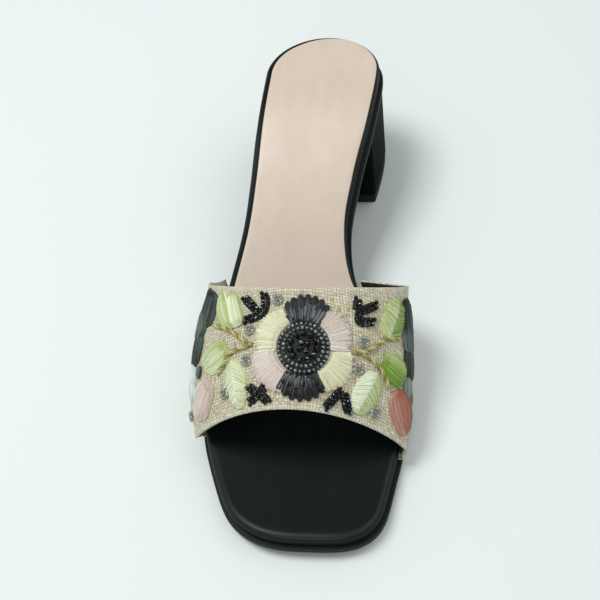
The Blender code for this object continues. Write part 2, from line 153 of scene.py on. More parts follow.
class Wire:
    """One output socket. Arithmetic on it adds Math nodes to its tree."""

    def __init__(self, paint: "Paint", socket: bpy.types.NodeSocket) -> None:
        """Hold the socket and the tree that it belongs to."""
        self.paint = paint
        self.socket = socket

    __add__, __radd__ = operator("ADD")
    __sub__, __rsub__ = operator("SUBTRACT")
    __mul__, __rmul__ = operator("MULTIPLY")
    __truediv__, __rtruediv__ = operator("DIVIDE")
    __pow__, __rpow__ = operator("POWER")


class Paint:
    """The node tree of one material, around its Principled shader."""

    def __init__(self, name: str) -> None:
        """Make an empty material.

        Args:
            name: the material's name.
        """
        self.material = bpy.data.materials.new(name)
        self.material.use_nodes = True
        self.tree = self.material.node_tree
        self.shader = self.tree.nodes["Principled BSDF"]

    def feed(self, socket: bpy.types.NodeSocket, value: "Wire | float | tuple") -> None:
        """Link a wire to a socket, or set the socket's own value.

        Args:
            socket: the input.
            value: a wire, a number, a vector, or a colour without its alpha.
        """
        if isinstance(value, Wire):
            self.tree.links.new(value.socket, socket)
        elif isinstance(value, tuple) and len(value) == 3 and socket.type == "RGBA":
            socket.default_value = (*value, 1.0)
        else:
            socket.default_value = value

    def node(self, kind: str, settings: dict, inputs: dict, output: str | int = 0) -> Wire:
        """Add one node.

        Args:
            kind: the node's type.
            settings: its properties; "stops" are the places and colours of a ramp.
            inputs: values or wires by the name or number of the socket.
            output: the output to give back.

        Returns:
            That output as a wire.
        """
        made = self.tree.nodes.new(kind)
        for key, value in settings.items():
            if key == "stops":
                ramp = made.color_ramp.elements
                while len(ramp) < len(value):
                    ramp.new(1.0)
                for stop, (place, colour) in zip(ramp, value):
                    stop.position = place
                    stop.color = (*colour, 1.0)
            else:
                setattr(made, key, value)
        for key, value in inputs.items():
            self.feed(made.inputs[key], value)
        return Wire(self, made.outputs[output])

    def math(self, operation: str, *values: Wire | float) -> Wire:
        """A Math node on values or wires."""
        return self.node("ShaderNodeMath", {"operation": operation}, dict(enumerate(values)))

    def blend(self, share: Wire | float, first: Wire | Colour, second: Wire | Colour) -> Wire:
        """Mix two colours by a share of the second, held from 0 to 1."""
        settings = {"data_type": "RGBA", "blend_type": "MIX", "clamp_factor": True}
        return self.node("ShaderNodeMix", settings, {0: share, 6: first, 7: second}, 2)

    def ramp(self, share: Wire, *colours: Colour) -> Wire:
        """Colours in even steps along a share from 0 to 1."""
        places = np.linspace(0, 1, len(colours)).tolist()
        return self.node("ShaderNodeValToRGB", {"stops": list(zip(places, colours))}, {0: share})

    def place(self) -> Wire:
        """Place on the object in metres."""
        return self.node("ShaderNodeTexCoord", {}, {}, "Object")

    def map_place(self, axis: str) -> Wire:
        """Place on the piece's own map in millimetres, along X or Y."""
        flat = self.node("ShaderNodeUVMap", {"uv_map": PIECE_MAP}, {})
        return self.node("ShaderNodeSeparateXYZ", {}, {0: flat}, axis)

    def point(self, x: Wire | float, y: Wire | float, z: Wire | float) -> Wire:
        """A vector from three values."""
        return self.node("ShaderNodeCombineXYZ", {}, {0: x, 1: y, 2: z})

    def tint(self) -> Wire:
        """The piece's own tint, from 0 to 1."""
        return self.node("ShaderNodeAttribute", {"attribute_name": TINT}, {}, "Fac")

    def noise(self, vector: Wire, grain: float, detail: float = 2.0) -> Wire:
        """Soft noise whose patches are about grain wide, in the vector's own unit."""
        return self.node("ShaderNodeTexNoise", {}, {"Vector": vector, "Scale": 1 / grain, "Detail": detail})

    def bump(self, height: Wire, depth: float) -> Wire:
        """Normal of a surface whose height from 0 to 1 spans a depth in millimetres."""
        inputs = {"Height": height, "Strength": 1.0, "Distance": depth * MM}
        return self.node("ShaderNodeBump", {}, inputs, "Normal")

    def dress(self, **inputs: Wire | float | Colour) -> Material:
        """Set or link the shader's sockets.

        Args:
            inputs: values or wires by the name of the socket, with _ for a space.

        Returns:
            The material.
        """
        for key, value in inputs.items():
            self.feed(self.shader.inputs[key.replace("_", " ")], value)
        return self.material


# Finishes


class Finish:
    """A finish that makes its material once and then hands out the same one."""

    name: str

    def paint(self) -> Material:
        """Build the material; each finish has its own."""
        raise NotImplementedError

    def material(self) -> Material:
        """The finish's material, made at its first use."""
        return bpy.data.materials.get(self.name) or self.paint()


@dataclass(frozen=True)
class Leather(Finish):
    """Smooth leather: fine pebbled grain, soft clouds of tone, faint long streaks and a thin dressing."""

    name: str
    colour: Colour
    cloud: Colour
    roughness: float
    specular: float
    grain: float
    depth: float
    coat: float
    burnish: float = 0.0
    cloud_size: float = 18.0
    cloud_contrast: float = 2.4
    cloud_from: float = 0.7
    cloud_gloss: float = 0.2
    streak_size: float = 5.0
    streak_draw: float = 0.22
    smoothness: float = 0.35
    pebble_share: float = 0.75
    pore_size: float = 0.4
    pore_gloss: float = 0.08
    coat_roughness: float = 0.34

    def paint(self) -> Material:
        """Tone from clouds drawn out along the shoe, bump from pebbles and pores, gloss broken by both.

        Rubbed edges, where the piece has a tint, carry more of the dressing.

        Returns:
            The material.
        """
        paint = Paint(self.name)
        place = paint.place()
        inputs = {"Vector": place, "Scale": (1.0, self.streak_draw, 1.0)}
        stretch = paint.node("ShaderNodeMapping", {}, inputs)
        wide = paint.noise(place, self.cloud_size * MM, 3.0)
        clouds = 0.5 * wide + 0.5 * paint.noise(stretch, self.streak_size * MM)
        inputs = {"Vector": place, "Scale": 1 / (self.grain * MM), "Smoothness": self.smoothness}
        pebbles = paint.node("ShaderNodeTexVoronoi", {"feature": "SMOOTH_F1"}, inputs, "Distance")
        pores = paint.noise(place, self.pore_size * self.grain * MM, 1.0)
        height = self.pebble_share * (1 - pebbles) + (1 - self.pebble_share) * pores
        return paint.dress(
            Base_Color=paint.blend(self.cloud_contrast * clouds - self.cloud_from, self.colour, self.cloud),
            Roughness=self.roughness + self.cloud_gloss * (clouds - 0.5) + self.pore_gloss * (pores - 0.5),
            Specular_IOR_Level=self.specular,
            Coat_Weight=self.coat + self.burnish * paint.tint() if self.burnish else self.coat,
            Coat_Roughness=self.coat_roughness,
            Normal=paint.bump(height, self.depth),
        )


@dataclass(frozen=True)
class Rubber(Finish):
    """Dull black sole rubber with a fine moulded texture and a few paler rubbed places."""

    name: str
    colour: Colour
    rubbed: Colour
    roughness: float
    specular: float = 0.18
    cloud_size: float = 12.0
    cloud_gloss: float = 0.2
    speckle_size: float = 0.5
    speckle_depth: float = 0.05

    def paint(self) -> Material:
        """Fine speckle in the bump, wide rubbed clouds in the tone.

        Returns:
            The material.
        """
        paint = Paint(self.name)
        place = paint.place()
        clouds = paint.noise(place, self.cloud_size * MM, 4.0)
        return paint.dress(
            Base_Color=paint.blend(clouds**3, self.colour, self.rubbed),
            Roughness=self.roughness + self.cloud_gloss * (clouds - 0.5),
            Specular_IOR_Level=self.specular,
            Normal=paint.bump(paint.noise(place, self.speckle_size * MM), self.speckle_depth),
        )


@dataclass(frozen=True)
class Woven(Finish):
    """Coarse plain weave of uneven cream and tan yarns with dark flecks and a paler folded hem."""

    name: str
    yarns: tuple[Colour, ...]
    # gap: tone of the low places between the yarns, painted shade
    gap: Colour
    hem: Colour
    pitch: float
    depth: float
    wander: float = 1.6
    wander_across: float = 2.6
    wander_along: float = 2.0
    slub_size: float = 0.9
    slub_low: float = 0.55
    slub_span: float = 0.9
    mottle_size: float = 6.0
    mottle_share: float = 0.5
    cell_share: float = 0.6
    tone_from: float = 0.06
    gap_shade_power: float = 0.42
    hem_share: float = 0.28
    roughness: float = 0.62
    fuzz: float = 0.25
    specular: float = 0.3
    sheen: float = 0.15

    def paint(self) -> Material:
        """Yarns cross in square cells: over or under by turns, each crossing with its own yarn tone.

        A cell's height is half a sine wave across the upper yarn, lower towards the cell's ends; where it is
        low the tone is blended to the gap tone, which is painted shade between the yarns.

        Returns:
            The material.
        """
        paint = Paint(self.name)
        across, along = paint.map_place("X"), paint.map_place("Y")
        place = paint.place()
        u = across / self.pitch + self.wander * (paint.noise(place, self.wander_across * MM) - 0.5)
        v = along / self.pitch + self.wander * (paint.noise(place, self.wander_along * MM) - 0.5)
        column, row = paint.math("FLOOR", u), paint.math("FLOOR", v)
        over = paint.math("FRACT", (column + row) / 2) * 2
        arch_u, arch_v = (paint.math("SINE", paint.math("FRACT", way) * math.pi) for way in (u, v))
        slub = self.slub_low + self.slub_span * paint.noise(place, self.slub_size * MM)
        height = slub * (over * arch_u * (0.5 + 0.5 * arch_v) + (1 - over) * arch_v * (0.5 + 0.5 * arch_u))
        cell = paint.point(column, row, 0.5)
        chance = paint.node("ShaderNodeTexWhiteNoise", {"noise_dimensions": "3D"}, {"Vector": cell}, "Value")
        mottle = paint.noise(place, self.mottle_size * MM, 3.0)
        yarn = paint.ramp(chance * self.cell_share + mottle * self.mottle_share - self.tone_from, *self.yarns)
        # Painted shade: low places between the yarns take the dark gap tone.
        shaded = paint.blend(height**self.gap_shade_power, self.gap, yarn)
        return paint.dress(
            Base_Color=paint.blend(self.hem_share * paint.tint(), shaded, self.hem),
            Roughness=self.roughness + self.fuzz * chance,
            Specular_IOR_Level=self.specular,
            Sheen_Weight=self.sheen,
            Normal=paint.bump(height, self.depth),
        )


@dataclass(frozen=True)
class Thread(Finish):
    """Satin stitch or couched twist: fine plies that run along the thread, with a soft sheen."""

    name: str
    tones: tuple[Colour, ...]
    roughness: float = 0.4
    streak: float = 0.3
    depth: float = 0.06
    streak_size: float = 0.8
    streak_draw: float = 0.08
    fibre: float = 0.12
    fibre_size: float = 0.22
    fibre_draw: float = 0.2
    fibre_gloss: float = 0.2
    plies_across: float = 19.0
    plies_along: float = 6.0
    ply_waver: float = 4.0
    ply_share: float = 0.6
    specular: float = 0.4
    sheen: float = 0.1
    sheen_roughness: float = 0.4

    def paint(self) -> Material:
        """Tone from each strand's tint, broken by long streaks; plies are slanting waves in the bump.

        Returns:
            The material.
        """
        paint = Paint(self.name)
        across, along = paint.map_place("X"), paint.map_place("Y")
        streaks = paint.noise(paint.point(across, along * self.streak_draw, 0.0), self.streak_size, 3.0)
        fine = paint.noise(paint.point(across, along * self.fibre_draw, 0.5), self.fibre_size)
        slant = across * self.plies_across + along * self.plies_along + self.ply_waver * fine
        plies = 0.5 + 0.5 * paint.math("SINE", slant)
        strand = paint.tint() + self.streak * (streaks - 0.5) + self.fibre * (fine - 0.5)
        return paint.dress(
            Base_Color=paint.ramp(strand, *self.tones),
            Roughness=self.roughness + self.fibre_gloss * (fine - 0.5),
            Specular_IOR_Level=self.specular,
            Sheen_Weight=self.sheen,
            Sheen_Roughness=self.sheen_roughness,
            Normal=paint.bump(self.ply_share * plies + (1 - self.ply_share) * fine, self.depth),
        )


@dataclass(frozen=True)
class Glass(Finish):
    """Small hard trims: glass beads and sequins, each with its own tone."""

    name: str
    colour: Colour
    light: Colour
    metallic: float
    roughness: float
    coat: float = 0.5
    ior: float = 1.5
    glint_most: float = 0.3
    glint_colour: Colour = tone(176, 184, 182)
    tint_share: float = 0.7
    film_size: float = 1.1
    film_middle: float = 0.4
    film_share: float = 0.9
    film_gloss: float = 0.12
    glint_from: float = 0.585
    glint_edge: float = 8.0
    coat_roughness: float = 0.1

    def paint(self) -> Material:
        """Tone and gloss vary from bead to bead with the tint; pale silver patches from the film noise are
        painted glints, each part metallic reflection and part painted highlight in the base colour.

        Returns:
            The material.
        """
        paint = Paint(self.name)
        film = paint.noise(paint.place(), self.film_size * MM)
        share = self.tint_share * paint.tint() + self.film_share * (film - self.film_middle)
        # Painted glints: where the film noise is high the colour turns pale silver and as much metallic is
        # added.
        glint = paint.math("MAXIMUM", self.glint_edge * (film - self.glint_from), 0.0)
        glint = paint.math("MINIMUM", glint, self.glint_most)
        return paint.dress(
            Base_Color=paint.blend(glint, paint.blend(share, self.colour, self.light), self.glint_colour),
            Metallic=self.metallic + glint,
            Roughness=self.roughness + self.film_gloss * (film - self.film_middle),
            IOR=self.ior,
            Coat_Weight=self.coat,
            Coat_Roughness=self.coat_roughness,
        )


@dataclass(frozen=True)
class Ground(Finish):
    """Plain pale studio floor."""

    name: str
    colour: Colour
    roughness: float = 0.75
    specular: float = 0.2

    def paint(self) -> Material:
        """One matt tone."""
        paint = Paint(self.name)
        return paint.dress(Base_Color=self.colour, Roughness=self.roughness, Specular_IOR_Level=self.specular)


class Look(Enum):
    """The finishes of the shoe."""

    FOOTBED = Leather(
        "satin_black_leather", tone(20, 27, 26), tone(25, 32, 31), 0.44, 0.05, 0.75, 0.035, 0.01, burnish=0.75
    )
    HEEL = Leather("heel_black_leather", tone(9, 19, 16), tone(13, 24, 20), 0.55, 0.015, 0.75, 0.04, 0.0)
    LINING = Leather("lining_black_leather", tone(20, 26, 23), tone(28, 34, 30), 0.55, 0.2, 0.7, 0.04, 0.0)
    SOCK = Leather("nude_sock_leather", tone(226, 208, 190), tone(218, 199, 181), 0.36, 0.4, 0.6, 0.02, 0.08)
    SOLE = Rubber("black_sole_rubber", tone(19, 28, 26), tone(40, 51, 48), 0.5)
    CLOTH = Woven(
        "mottled_cream_weave",
        (
            tone(160, 145, 108),
            tone(218, 208, 175),
            tone(237, 229, 200),
            tone(244, 238, 216),
            tone(250, 247, 231),
        ),
        # the gap tone is painted shade between the yarns
        gap=tone(126, 114, 82),
        hem=tone(243, 240, 224),
        pitch=1.3,
        depth=0.28,
    )
    BLACK_BEAD = Glass("black_glass_beads", tone(1, 2, 2), tone(3, 5, 5), 0.0, 0.07, 0.1, 1.36, 0.9)
    GREY_BEAD = Glass("gunmetal_beads", tone(66, 74, 76), tone(150, 160, 160), 0.6, 0.14)
    SEQUIN = Glass("grey_sequins", tone(134, 134, 122), tone(204, 204, 192), 0.15, 0.42, 0.1)
    BLACK = Thread("black_satin_stitch", (tone(12, 13, 14), tone(46, 50, 54), tone(128, 134, 140)), 0.34, 0.6)
    TEAL = Thread("teal_satin_stitch", (tone(20, 27, 23), tone(84, 97, 90), tone(150, 168, 160)), 0.38, 0.5)
    YELLOW = Thread("yellow_satin_stitch", (tone(216, 210, 166), tone(236, 233, 202), tone(252, 251, 238)))
    PINK = Thread("pink_satin_stitch", (tone(212, 192, 180), tone(230, 218, 208), tone(250, 245, 242)))
    GREEN = Thread(
        "green_satin_stitch",
        (tone(118, 160, 48), tone(176, 193, 116), tone(214, 222, 178), tone(248, 252, 230)),
    )
    ROSE = Thread("rose_satin_stitch", (tone(200, 172, 160), tone(224, 204, 192), tone(242, 228, 220)))
    CORAL = Thread("coral_satin_stitch", (tone(160, 92, 76), tone(194, 134, 116), tone(220, 178, 160)))
    MINT = Thread("mint_satin_stitch", (tone(48, 58, 52), tone(166, 184, 176), tone(224, 240, 234)))
    GOLD = Thread(
        "gold_twist_thread", (tone(112, 98, 42), tone(176, 168, 98), tone(220, 216, 160)), 0.38, 0.6
    )
    FLOOR = Ground("pale_floor", tone(242, 248, 248))


# Pieces


class Skin(NamedTuple):
    """Grids of points in millimetres, one for each item, with their place on the map and their tint."""

    points: Array
    flat: Array
    tint: Array


def skin(points: Array, flat: Array | None = None, tint: Array | float = 0.0) -> Skin:
    """A skin of one grid, whose map and tint may be left out.

    Args:
        points: rows and columns of points.
        flat: rows and columns of map places in millimetres.
        tint: rows and columns of tint, or one number.

    Returns:
        The skin.
    """
    shape = points.shape[:2]
    flat = points[..., :2] if flat is None else np.broadcast_to(flat, (*shape, 2))
    return Skin(points[None], flat[None], np.broadcast_to(tint, shape)[None])


def capped(rings: Array) -> Array:
    """Rings with one more at each end, drawn in to the end ring's mean point.

    Args:
        rings: a row of points for each ring.

    Returns:
        The rings and the two more.
    """
    first = np.broadcast_to(rings[:1].mean(axis=1, keepdims=True), rings[:1].shape)
    last = np.broadcast_to(rings[-1:].mean(axis=1, keepdims=True), rings[-1:].shape)
    return np.concatenate([first, rings, last])


def doubled(rows: Array) -> Array:
    """Map places or tints of capped rings: the first and the last row come twice."""
    return np.concatenate([rows[:1], rows, rows[-1:]])


def closed(rings: Array) -> Array:
    """Rings whose first point is repeated at the end, so that the weld closes them."""
    return np.concatenate([rings, rings[:, :1]], axis=1)


def tubes(middle: Array, normal: Array, radius: Array, tint: Array, flatness: float, sides: int = 5) -> Skin:
    """Threads that taper to a point at both ends: ovals carried along lines of points.

    An oval lies square to its line: a cosine to the side and a flattened sine along the normal.

    Args:
        middle: points along each thread, a row for each.
        normal: the way up at each point.
        radius: half width of the thread at each point.
        tint: tint of the thread at each point.
        flatness: height of the oval over its width.
        sides: number of sides.

    Returns:
        A skin with a grid for each thread.
    """
    side = unit(np.cross(normal, np.gradient(middle, axis=1)))[:, :, None]
    around = np.linspace(0, 2 * math.pi, sides + 1)
    share = np.linspace(-1, 1, middle.shape[1])
    oval = np.cos(around)[:, None] * side + flatness * np.sin(around)[:, None] * normal[:, :, None]
    points = middle[:, :, None] + (radius * swell(share, TAPER_POWER))[:, :, None, None] * oval
    number = THREAD_STEP * np.arange(len(middle))[:, None, None]
    girth = number + THREAD_GIRTH * around
    flat = np.stack(np.broadcast_arrays(girth, travelled(middle)[:, :, None]), axis=-1)
    return Skin(points, flat, np.broadcast_to(tint[:, :, None], points.shape[:3]))


def placed(name: str, data: bpy.types.ID) -> bpy.types.Object:
    """A new object in the scene.

    Args:
        name: its name.
        data: its mesh, light or camera.

    Returns:
        The object.
    """
    thing = bpy.data.objects.new(name, data)
    bpy.context.scene.collection.objects.link(thing)
    return thing


@dataclass
class Maker:
    """Adds pieces to the scene: joins skins into one mesh, welds it, dresses it and lets it ride."""

    shift: Array
    weld: float = 1e-6
    sharp: float = 50.0
    made: list[str] = field(default_factory=list)

    def add(self, name: str, skins: list[Skin], look: Look, slot: str, *nodes: str) -> bpy.types.Object:
        """Add one piece.

        Args:
            name: the piece's name.
            skins: grids that make up its mesh.
            look: its finish.
            slot: the record's material slot; not used.
            nodes: the CAD nodes that it stands for.

        Returns:
            The piece's object.
        """
        mesh = bpy.data.meshes.new(name)
        points = np.concatenate([part.points.reshape(-1, 3) for part in skins])
        flat = np.concatenate([part.flat.reshape(-1, 2) for part in skins])
        tint = np.clip(np.concatenate([part.tint.reshape(-1) for part in skins]), 0, 1)
        faces = self.quads(skins)
        mesh.vertices.add(len(points))
        mesh.vertices.foreach_set("co", (points * MM + self.shift).astype(np.float32).ravel())
        mesh.loops.add(faces.size)
        mesh.loops.foreach_set("vertex_index", faces.ravel().astype(np.int32))
        mesh.polygons.add(len(faces))
        mesh.polygons.foreach_set("loop_start", np.arange(0, faces.size, 4, dtype=np.int32))
        corners = flat[faces.ravel()].astype(np.float32)
        mesh.uv_layers.new(name=PIECE_MAP).data.foreach_set("uv", corners.ravel())
        mesh.attributes.new(TINT, "FLOAT", "POINT").data.foreach_set("value", tint.astype(np.float32))
        mesh.update(calc_edges=True)
        form = bmesh.new()
        form.from_mesh(mesh)
        bmesh.ops.remove_doubles(form, verts=form.verts, dist=self.weld)
        bmesh.ops.dissolve_degenerate(form, edges=form.edges, dist=self.weld)
        bmesh.ops.recalc_face_normals(form, faces=form.faces)
        form.to_mesh(mesh)
        form.free()
        mesh.shade_smooth()
        mesh.set_sharp_from_angle(angle=math.radians(self.sharp))
        mesh.materials.append(look.value.material())
        piece = placed(name, mesh)
        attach(piece, BODY)
        if nodes:
            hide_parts(*nodes)
        self.made.append(name)
        count = len(mesh.polygons)
        LOG.info("%s: %d faces, finish %s, stands for %s", name, count, look.name, nodes or "nothing")
        return piece

    @staticmethod
    def quads(skins: list[Skin]) -> Array:
        """Corner numbers of the quads between neighbouring points of every grid.

        Args:
            skins: the grids, stored one after the other, item by item and row by row.

        Returns:
            Four corner numbers for each quad.
        """
        parts = []
        start = 0
        for part in skins:
            index = start + np.arange(part.tint.size).reshape(part.tint.shape)
            corners = (index[:, :-1, :-1], index[:, :-1, 1:], index[:, 1:, 1:], index[:, 1:, :-1])
            parts.append(np.stack(corners, axis=-1).reshape(-1, 4))
            start += part.tint.size
        return np.concatenate(parts)


# Last


class SoleStation(NamedTuple):
    """Middle and half width of the sole at one distance from the toe tip."""

    y: float
    centre: float
    half_width: float


class Outline(NamedTuple):
    """One half of a loop round the sole, front to back, and where its middle line starts."""

    y: Array
    share: Array
    spine_from: float


class RingRow(NamedTuple):
    """One loop of a plate: moved in, drawn to the middle line by a share, and raised over the tread."""

    inset: float | Array
    share: float
    rise: float | Array


@dataclass(frozen=True)
class Last:
    """The shape that all pieces are built round: the sole's outline and its heights."""

    length: float = 250.0
    toe_depth: float = 22.0
    toe_power: float = 3.2
    heel_depth: float = 28.0
    heel_power: float = 2.0
    toe_spring: float = 3.4
    flat_from: float = 38.0
    flat_to: float = 74.0
    seat_from: float = 216.0
    seat_height: float = 50.0
    gap: float = 0.3
    outsole_thick: float = 4.0
    footbed_thick: float = 6.7
    ledge: float = 1.6
    spine_from: float = 34.0
    spine_to: float = 222.0
    toe_points: int = 33
    side_points: int = 90
    heel_points: int = 25
    corner_points: int = 7
    cut_points: int = 8
    cut_share: float = 0.75
    stations: tuple[SoleStation, ...] = table(
        SoleStation,
        (0.0, 4.6, 28.4), (14.0, 2.2, 33.7), (30.0, 0.4, 38.9), (48.0, -0.9, 43.8), (64.0, -1.7, 45.9),
        (82.0, -3.2, 44.6), (104.0, -6.8, 38.1), (124.0, -9.9, 30.0), (144.0, -8.8, 26.1),
        (166.0, -5.4, 26.4), (190.0, -1.6, 28.4), (212.0, 1.0, 29.4), (250.0, 2.2, 29.4),
    )

    @property
    def footbed_low(self) -> float:
        """Height of the footbed's underside over the tread."""
        return self.outsole_thick + self.gap

    @property
    def footbed_high(self) -> float:
        """Height of the footbed's top over the tread."""
        return self.footbed_low + self.footbed_thick

    def column(self, number: int, y: Array) -> Array:
        """One column of the table of stations, as a smooth curve along the sole."""
        table = np.array(self.stations)
        return hermite(table[:, 0], table[:, number], y)

    def centre(self, y: Array) -> Array:
        """Middle of the sole at each distance from the toe."""
        return self.column(1, y)

    def half_width(self, y: Array) -> Array:
        """Half width of the sole: the table's curve, rounded at both ends by superellipses.

        Args:
            y: distances from the toe.

        Returns:
            The half width at each.
        """
        toe = np.clip(1 - y / self.toe_depth, 0, 1) ** self.toe_power
        heel = np.clip(1 - (self.length - y) / self.heel_depth, 0, 1) ** self.heel_power
        ends = (1 - toe) ** (1 / self.toe_power) * (1 - heel) ** (1 / self.heel_power)
        return self.column(2, y) * ends

    def tread(self, y: Array) -> Array:
        """Height of the tread: toe spring, flat under the ball, the arch, and the level seat."""
        spring = self.toe_spring * np.clip((self.flat_from - y) / self.flat_from, 0, 1) ** 2
        return spring + self.seat_height * ease((y - self.flat_to) / (self.seat_from - self.flat_to))

    def beside(self, side: Array, y: Array, outwards: float) -> tuple[Array, Array]:
        """A point beside the footbed's edge, square to it.

        Args:
            side: -1 for the little-toe side, 1 for the big-toe side.
            y: station along the sole.
            outwards: distance out from the footbed's edge.

        Returns:
            The point's x and y.
        """
        step = 0.5
        reach = self.centre(y) + side * self.half_width(y)
        ahead = self.centre(y + step) + side * self.half_width(y + step)
        slope = (ahead - reach) / step
        scale = (outwards - self.ledge) / np.sqrt(1 + slope**2)
        return reach + side * scale, y - side * slope * scale

    @staticmethod
    def cap(depth: float, power: float, count: int) -> Array:
        """Distances from a rounded end whose points lie evenly round its superellipse.

        Args:
            depth: how far the rounding reaches.
            power: power of the superellipse.
            count: number of points.

        Returns:
            A distance for each point.
        """
        angle = np.linspace(0, math.pi / 2, count)
        reach = (np.sin(angle) ** power + np.cos(angle) ** power) ** (1 / power)
        return depth * (1 - np.cos(angle) / reach)

    def all_stations(self, extra: tuple[float, ...] = ()) -> Array:
        """Stations along the sole, close together round its ends.

        Args:
            extra: stations to add.

        Returns:
            All stations in order.
        """
        toe = self.cap(self.toe_depth, self.toe_power, self.toe_points)
        heel = self.length - self.cap(self.heel_depth, self.heel_power, self.heel_points)
        sides = np.linspace(toe[-1], heel[-1], self.side_points)
        return np.unique(np.concatenate([toe, sides, heel, np.array(extra)]).round(3))

    def whole(self, extra: tuple[float, ...] = ()) -> Outline:
        """The outline of the whole sole."""
        y = self.all_stations(extra)
        return Outline(y, np.ones_like(y), self.spine_from)

    def rear(self, front: float, corner: float, spine_from: float) -> Outline:
        """The rear of the sole, cut straight across with rounded corners.

        Args:
            front: station of the cut.
            corner: radius of its corners.
            spine_from: where the middle line starts.

        Returns:
            The outline.
        """
        turn = np.linspace(0, math.pi / 2, self.corner_points)
        across = np.linspace(0, self.cut_share, self.cut_points)
        round_share = corner / self.half_width(np.array(front))
        y = self.all_stations()
        behind = y[y > front + corner + 1]
        stations = np.concatenate([np.full_like(across, front), front + corner * (1 - np.cos(turn)), behind])
        share = np.concatenate([across, 1 - round_share * (1 - np.sin(turn)), np.ones_like(behind)])
        return Outline(stations, share, spine_from)

    def loop(self, outline: Outline, inset: float | Array) -> Array:
        """The outline as a closed loop, back along the little-toe side and forward again, moved in.

        Args:
            outline: one half of the loop.
            inset: distance in, square to the loop: one number or one for each point.

        Returns:
            Points in plan.
        """
        reach = outline.share * self.half_width(outline.y)
        middle = self.centre(outline.y)
        lateral = np.stack([middle - reach, outline.y], axis=1)
        medial = np.stack([middle + reach, outline.y], axis=1)
        loop = np.concatenate([lateral, medial[-2:0:-1]])
        tangent = unit(np.roll(loop, -1, axis=0) - np.roll(loop, 1, axis=0))
        return loop - np.asarray(inset)[..., None] * np.stack([-tangent[:, 1], tangent[:, 0]], axis=1)

    def drawn_in(self, loop: Array, outline: Outline, share: float) -> Array:
        """The loop drawn towards the outline's middle line.

        Args:
            loop: points in plan.
            outline: the outline that it follows.
            share: 0 leaves it, 1 puts it on the line.

        Returns:
            Points in plan.
        """
        y = np.clip(outline.y, outline.spine_from, self.spine_to)
        half = np.stack([self.centre(y), y], axis=1)
        return loop + share * (np.concatenate([half, half[-2:0:-1]]) - loop)

    def plate(self, outline: Outline, rows: list[RingRow]) -> Array:
        """Loops of a plate that follows the tread.

        Args:
            outline: one half of its loop.
            rows: its loops, from the middle of one face round the edge to the middle of the other.

        Returns:
            Rings of points, each closed.
        """
        rings = []
        for row in rows:
            loop = self.drawn_in(self.loop(outline, row.inset), outline, row.share)
            rings.append(np.column_stack([loop, self.tread(loop[:, 1]) + row.rise]))
        return closed(np.stack(rings))


def face_rows(inset: float | Array, rise: float, count: int, inwards: bool) -> list[RingRow]:
    """Loops over a broad face of a plate, from its edge to its middle or back.

    Args:
        inset: inset of the face's edge.
        rise: height of the face over the tread.
        count: number of loops.
        inwards: from the edge to the middle.

    Returns:
        The loops' rows.
    """
    rows = [RingRow(inset, share, rise) for share in np.linspace(0, 1, count).tolist()]
    return rows if inwards else rows[::-1]


# Sole unit


class EdgeStep(NamedTuple):
    """A step of an edge: its inset, and its height over the tread or as a share of the thickness."""

    inset: float
    rise: float


